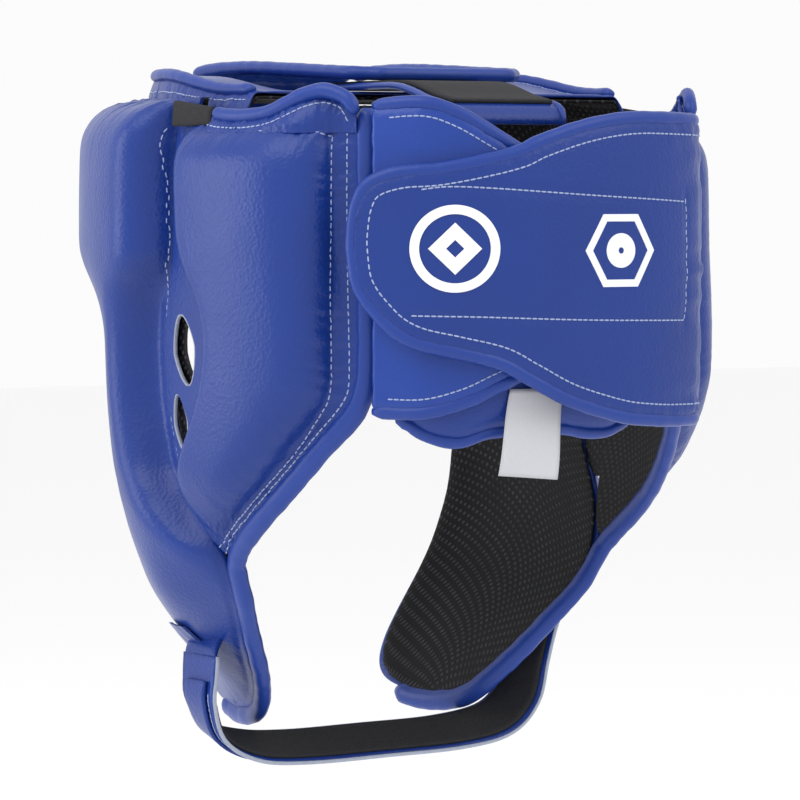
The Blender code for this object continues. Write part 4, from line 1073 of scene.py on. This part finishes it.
# ------------------------------------------------------------------ side crown flaps
# Each side crown flap is sewn into the top seam of the padded ring and gathered there. It goes in
# over the head to the middle, with a bound edge along its fold and mesh underneath.
CROWN_TOP = 126.5 * MM
CROWN_LAYER = 4.0 * MM
CROWN_LEATHER = 1.5 * MM
SIDE_FLAP_TURNS = (46.0, 108.0)


def crown_spot(u, v, drop=0.0):
    """A place on the left crown flap from its root, u = 0, to the middle, lowered by a drop."""
    turn = SIDE_FLAP_TURNS[0] + (SIDE_FLAP_TURNS[1] - SIDE_FLAP_TURNS[0]) * v
    root = Vector(on_head(turn, CROWN_HEIGHT, -1.0 * MM))
    tip = Vector((7 * MM, (-50 + 80 * v) * MM, 0))
    spot = root.lerp(tip, u ** 1.5)
    front = ease(15 * MM, -45 * MM, spot.y) if spot.y > -45 * MM else 1.0
    outer = ease(42 * MM, 60 * MM, math.hypot(spot.x, 0.45 * spot.y))
    top = CROWN_TOP - 3 * CROWN_LAYER + 7 * MM * front * outer
    level = ease(0.0, 0.18, u)
    inward = Vector((-spot.x, -spot.y, 0)).normalized()
    base = CROWN_HEIGHT - 6 * MM
    return Vector((spot.x, spot.y, base + (top - base) * level)) + inward * drop * (1 - level) \
        - Vector((0, 0, drop * (0.25 + 0.75 * level)))


def crown_run(u, drop=0.0, first=0.0, last=1.0, pitch=2 * MM):
    return even_points(np.array([crown_spot(u, v, drop) for v in np.linspace(first, last, 60)]), pitch)


def upright(points):
    """A direction between straight up and outwards, for seams on the crown's fold."""
    return radial(points) * 0.6 + np.array([0.0, 0.0, 0.8])


def crown_columns():
    return np.concatenate([np.linspace(0, 0.22, 12), np.linspace(0.27, 1, 16)])


crown_flap = shell("left_crown_flap_leather",
                   grid(lambda u, v: crown_spot(1 - u, v), 1 - crown_columns()[::-1], 44),
                   grid(lambda u, v: crown_spot(1 - u, v, CROWN_LEATHER), 1 - crown_columns()[::-1], 44))
refine(crown_flap, 1)
work(crown_flap, [(crown_run(0.02), 0.3 * MM, 0.9 * MM, 7 * MM, 6 * MM),
                  (crown_run(0.24), 0.4 * MM, 0.35 * MM, 5 * MM, 7 * MM)])
crown_roll = binding("left_crown_flap_binding", crown_run(0.165, -0.6 * MM, 0.02, 0.98), 0.0, 2.6 * MM, 2.4 * MM,
                     upright(crown_run(0.165, -0.6 * MM, 0.02, 0.98)))
crown_mesh = shell("left_crown_flap_mesh",
                   grid(lambda u, v: crown_spot(1 - u, v, CROWN_LEATHER + 0.7 * MM), 1 - crown_columns()[::-1], 30),
                   grid(lambda u, v: crown_spot(1 - u, v, CROWN_LEATHER + 1.8 * MM), 1 - crown_columns()[::-1], 30))


def crown_seam_rays(u):
    points = crown_run(u, 0.0, 0.04, 0.96)
    return points + upright(points) * 25 * MM, -upright(points)


crown_thread = stitches("left_crown_flap_stitching", crown_flap, [crown_seam_rays(0.10), crown_seam_rays(0.25)])
for piece, part, finish, slot, node in (
        (crown_flap, "leather", LEATHER, "blue_leather", ["crown_flap_cover"]),
        (crown_mesh, "mesh", SPACER_MESH, "black_mesh", ["crown_flap_lining"]),
        (crown_roll, "binding", BINDING, "blue_binding", []),
        (crown_thread, "stitching", THREAD_FINISH, "blue_leather", [])):
    both_sides(piece, "crown_flap_" + part, finish, slot, node, "left_crown_flap")

# ------------------------------------------------------------------ crown strap
# A strap from the nape forward over the crown. Its upper face is black loop tape between narrow
# leather borders, so the front flap can be fastened anywhere along it.
STRAP_WIDTH = 50 * MM
STRAP_MIDDLE = 20 * MM
STRAP_TOP = CROWN_TOP - 4 * MM - 2 * PATCH - 2 * CROWN_LEATHER - 1.75 * MM


def ribbon(name, centre, across, facing, width, low, high, columns=10):
    """A flat band: centre line, directions across and out of its face, width and two face heights."""
    width = np.broadcast_to(width, len(centre))[:, None, None]
    share = np.linspace(-0.5, 0.5, columns + 1)[None, :, None]
    plane = centre[:, None, :] + across[:, None, :] * width * share
    return shell(name, plane + facing[:, None, :] * high, plane + facing[:, None, :] * low)


def fore_and_aft(spots, middle, pitch=3 * MM):
    """A line over the crown from its (y, z) places in mm; middle gives x along it, from 0 to 1."""
    line = route([(y, z) for y, z in spots], pitch, lambda y, z, out: (0.0, y * MM, z * MM))
    line[:, 0] = [middle(t) for t in np.linspace(0, 1, len(line))]
    return line


def over_top(line):
    """Directions across a line over the crown and out of it."""
    along = np.gradient(line, axis=0)
    along /= np.linalg.norm(along, axis=1, keepdims=True)
    side = np.tile(np.array([1.0, 0.0, 0.0]), (len(line), 1))
    facing = np.cross(side, along)
    turned = np.sign(facing[len(line) // 2, 2])
    return side * turned, facing * turned


strap_line = fore_and_aft([(104.2, 101), (100.2, 107), (84.2, 110.2), (62.2, STRAP_TOP / MM - 0.6),
                           (36.2, STRAP_TOP / MM), (10.2, STRAP_TOP / MM), (-10.8, STRAP_TOP / MM)],
                          lambda t: STRAP_MIDDLE * (1 - 0.6 * t))
strap_side, strap_face = over_top(strap_line)
strap = ribbon("crown_strap_leather", strap_line, strap_side, strap_face, STRAP_WIDTH, 0.0, CROWN_LEATHER)
dress(strap, LEATHER, "crown_strap", "blue_leather", "crown_strap")
strap_loop = ribbon("crown_strap_loop_tape", strap_line[3:], strap_side[3:], strap_face[3:], STRAP_WIDTH - 5 * MM,
                    CROWN_LEATHER + 0.1 * MM, CROWN_LEATHER + 0.35 * MM + PATCH)
dress(strap_loop, LOOP_TAPE, "crown_strap", "black_loop_tape", "crown_strap_loop_patch")
for side in (-1, 1):
    edge = strap_line + strap_side * side * STRAP_WIDTH / 2 + strap_face * CROWN_LEATHER / 2
    where = "left" if side > 0 else "right"
    strap_edge = binding(f"crown_strap_edge_{where}", edge, 0.0, 1.7 * MM, 1.4 * MM, strap_face)
    dress(strap_edge, BINDING, "crown_strap", "blue_leather")

# ------------------------------------------------------------------ front crown flap
# The upper flap starts at the forehead's top seam, folds back over the whole crown and grips the
# strap. It is glossy leather with a painted sheen in its lighter blue, thick rolled edges and a hook patch
# underneath.
FRONT_HALF = 38 * MM
FRONT_FLAP_PLACES = ((-101.4, 106), (-103.2, 116), (-97.4, 123.3), (-81.4, 126.0), (-53.4, 126.5),
                     (-23.4, 125.3), (4.6, 123.9), (32.6, 122.5))
front_line = fore_and_aft(FRONT_FLAP_PLACES, lambda t: 0.0)
front_side, front_face = over_top(front_line)
front_width = np.array([2 * FRONT_HALF * (1 - 0.22 * ease(0.93, 1.0, t)) for t in np.linspace(0, 1, len(front_line))])
front_flap = ribbon("front_crown_flap_leather", front_line, front_side, front_face, front_width,
                    -CROWN_LEATHER, 0.0, 18)
refine(front_flap, 1)
flap_fold = even_points(np.array([(x, -99 * MM, 122 * MM) for x in np.linspace(-38 * MM, 38 * MM, 20)]), 2 * MM)
work(front_flap, [(flap_fold, 0.2 * MM, 0.6 * MM, 10 * MM, 9 * MM)])
# the front flap's lighter blue is painted sheen
front_flap.data.materials.append(GLOSSY_LEATHER_PAINTED_SHEEN)
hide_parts("front_crown_flap_cover")
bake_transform(front_flap)
start = int(np.argmax(front_line[:, 1] > -94 * MM))
left_side = (front_line + front_side * front_width[:, None] / 2)[start:]
right_side = (front_line - front_side * front_width[:, None] / 2)[start:]
tip_edge = np.array([left_side[-1] + (right_side[-1] - left_side[-1]) * t for t in np.linspace(0, 1, 12)])[1:-1]
front_rim = even_points(np.concatenate([left_side, tip_edge, right_side[::-1]]), 2 * MM)
front_rim[:, 2] -= 1.2 * MM
front_roll = binding("front_crown_flap_binding", front_rim, 0.0, 3.0 * MM, 2.7 * MM,
                     np.tile(np.array([0.0, 0.0, 1.0]), (len(front_rim), 1)))
dress(front_roll, BINDING, "front_crown_flap", "blue_leather")
hook_rows = np.flatnonzero(front_line[:, 1] > -30 * MM)[:-3]
crown_hook = ribbon("front_crown_flap_hook_tape", front_line[hook_rows], front_side[hook_rows], front_face[hook_rows],
                    STRAP_WIDTH, -CROWN_LEATHER - PATCH - 0.35 * MM, -CROWN_LEATHER - 0.3 * MM)
dress(crown_hook, HOOK_TAPE, "front_crown_flap", "black_hook_tape", "front_crown_flap_hook_patch")

# ------------------------------------------------------------------ chin strap
# A leather strap sewn to the left cheek, hanging below the chin and fastened inside the right cheek
# by loop tape. Its cut edges are pale, and a keeper of the same leather lies under its left end.
CHIN_WIDTH = 25 * MM
CHIN_LEAN = math.radians(24)
CHIN_MIDDLE = -20 * MM
CHIN_LEATHER = 1.5 * MM
CHIN_PLACES = ((79.8, -103.6), (80.3, -112), (80.3, -122), (74, -135), (58, -141.5), (35, -143.4), (0, -143),
               (-35, -142.2), (-58, -138.5), (-70, -129), (-75.5, -115), (-80.5, -102), (-86, -90))

chin_line = route(CHIN_PLACES, 2.5 * MM, lambda x, z, out: (x * MM, CHIN_MIDDLE, z * MM))
chin_along = np.gradient(chin_line, axis=0)
chin_along /= np.linalg.norm(chin_along, axis=1, keepdims=True)
chin_out = np.stack([chin_along[:, 2], np.zeros(len(chin_line)), -chin_along[:, 0]], 1)
chin_out *= -np.sign(chin_out[len(chin_line) // 2, 2])
share = np.linspace(0, 1, len(chin_line))
tilt = np.array([CHIN_LEAN * ease(0.02, 0.25, t) * ease(0.02, 0.30, 1 - t) for t in share])[:, None]
width_way = np.array([[0.0, 1.0, 0.0]])
chin_across = width_way * np.cos(tilt) + chin_out * np.sin(tilt)
chin_face = np.cross(chin_across, chin_along)
chin_flip = np.sign(np.sum(chin_face * chin_out, axis=1, keepdims=True))
chin_face *= chin_flip
chin_across = chin_across * chin_flip


def chin_band(name, width, low, high, first=0, last=None):
    part = slice(first, last)
    return ribbon(name, chin_line[part], chin_across[part], chin_face[part], width, low, high, 8)


chin_strap = chin_band("chin_strap_leather", CHIN_WIDTH, -CHIN_LEATHER, 0.0)
dress(chin_strap, LEATHER, "chin_strap", "blue_leather", "chin_strap")
chin_loop = chin_band("chin_strap_loop_tape_soft", 20 * MM, -CHIN_LEATHER - PATCH - 0.3 * MM,
                      -CHIN_LEATHER - 0.1 * MM, 8)
dress(chin_loop, LOOP_TAPE, "chin_strap", "black_loop_tape", "chin_strap_loop_tape")
for side in (-1, 1):
    edge = chin_line + chin_across * side * CHIN_WIDTH / 2 - chin_face * CHIN_LEATHER / 2
    raw = sweep(f"chin_strap_raw_edge_{'rear' if side > 0 else 'front'}", edge, np.gradient(edge, axis=0), chin_face,
                0.35 * MM, 0.85 * MM, 8)
    dress(raw, EDGE_PAINT, "chin_strap", "blue_leather")
chin_rows = []
for side in (-1, 1):
    row = chin_line[6:] + chin_across[6:] * side * 8.5 * MM
    chin_rows.append((row - chin_face[6:] * 15 * MM, chin_face[6:]))
    chin_rows.append((row + chin_face[6:] * 15 * MM, -chin_face[6:]))
chin_thread = stitches("chin_strap_stitching", chin_strap, chin_rows)
dress(chin_thread, THREAD_FINISH, "chin_strap", "blue_leather")
fold_line = route([(72.6, -92), (74.6, -97), (77.6, -100.6), (79.4, -104.2), (80.1, -110)], 1.5 * MM,
                  lambda x, z, out: (x * MM, -20 * MM, z * MM))
fold_line[:, 1] = [(-25 + 5 * ease(0.0, 1.0, t)) * MM for t in np.linspace(0, 1, len(fold_line))]
fold_along = np.gradient(fold_line, axis=0)
fold_side = np.tile(np.array([0.0, 1.0, 0.0]), (len(fold_line), 1))
fold_face = np.cross(fold_side, fold_along)
fold_face /= np.linalg.norm(fold_face, axis=1, keepdims=True)
fold_turn = np.sign(fold_face[0, 0])
chin_fold = ribbon("chin_strap_folded_end", fold_line, fold_side * fold_turn, fold_face * fold_turn,
                   22 * MM, -CHIN_LEATHER, 0.0)
chin_fold.data.materials.append(LEATHER)
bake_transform(chin_fold)
chin_keeper = chin_band("chin_strap_keeper_leather", CHIN_WIDTH * 0.6, 0.35 * MM, 0.35 * MM + CHIN_LEATHER, 4, 20)
dress(chin_keeper, LEATHER, "chin_strap", "blue_leather", "chin_strap_keeper")

# ------------------------------------------------------------------ strap anchor and catch patch
# A leather patch on the left cheek takes the chin strap's end. A hook patch inside the strap's right
# end is sewn to the right cheek. Both are sewn round their borders on the real headgear; here they keep
# their frame shape and only take a new finish, without stitching.
for node, finish, slot in (("chin_strap_anchor", LEATHER, "blue_leather"),
                           ("chin_catch_patch", HOOK_TAPE, "black_hook_tape")):
    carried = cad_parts[node]
    carried.data.materials.clear()
    carried.data.materials.append(finish)

# ------------------------------------------------------------------ rear pad top facings
# Above each rear pad a gathered leather facing closes the top of the padded ring. Its upper edge is
# bound and topstitched, and humps over the pad. A black sheet in the gap to the temple is painted shade.
HUMP = ((139, 105), (137.5, 110), (135, 112.6), (132, 113.6), (128, 111.8), (124, 108.4), (120, 105.6),
        (114, 104.4), (108, 104.8), (104, 105.8))
HUMP_OUT = 9 * MM


def facing_spot(u, v):
    step = u * (len(HUMP) - 1)
    table = [(i, *spot) for i, spot in enumerate(HUMP)]
    turn, top = read_table(table, step, 1), read_table(table, step, 2)
    low = 97.5
    falling = ease(126, 136.5, turn)
    base = (13.5 - 8.7 * falling) * MM
    out = base + (HUMP_OUT - 3.5 * MM * falling - base) * ease(0.0, 1.0, v) + 1.2 * MM * math.sin(math.pi * v)
    return turn, (low + (top - low) * v) * MM, out


def facing_grid(inset):
    def spot(u, v):
        turn, z, out = facing_spot(1 - u, v)
        return on_head(turn, z, out - inset)
    return np.array([[spot(u, v) for u in np.linspace(0, 1, 48)] for v in np.linspace(0, 1, 12)])


facing = shell("left_rear_pad_facing", facing_grid(0.0), facing_grid(1.5 * MM))
refine(facing, 1)
hump_line = side_route(HUMP[::-1], 1.5 * MM, HUMP_OUT)
low_seam = side_route([(spot[0], 99) for spot in HUMP[::-1]], 1.5 * MM, 13.5 * MM)
work(facing, [(hump_line, 0.3 * MM, 0.9 * MM, 6 * MM, 4.6 * MM), (low_seam, 0.5 * MM, 0.6 * MM, 6 * MM, 5.2 * MM)])
hump_roll = binding("left_rear_pad_facing_binding", hump_line, 0.0, 2.8 * MM, 2.6 * MM)
hump_thread = stitches("left_rear_pad_facing_stitching", facing, [from_side(shifted(hump_line, 4.5 * MM)),
                                                                 from_side(shifted(hump_line, -4.5 * MM))])
# painted shade: a black sheet, finished as loop tape, darkens the gap to the temple under the rolls
patch_turns = np.linspace(88.5, 103.5, 12)
gap_shade_sheet = flap_sheet("left_crown_gap_painted_shade", patch_turns, ((88, 111), (104, 108)), ((88, 101), (104, 101)),
                         lambda turn: 8.5 * MM, 1.2 * MM, rows=10, puff=0.5 * MM)
for piece, part, finish, slot in ((facing, "rear_pad_facing", LEATHER, "blue_leather"),
                                  (hump_roll, "rear_pad_facing_binding", BINDING, "blue_binding"),
                                  (hump_thread, "rear_pad_facing_stitching", THREAD_FINISH, "blue_leather"),
                                  (gap_shade_sheet, "crown_gap_painted_shade", LOOP_TAPE, "black_mesh")):
    both_sides(piece, part, finish, slot)
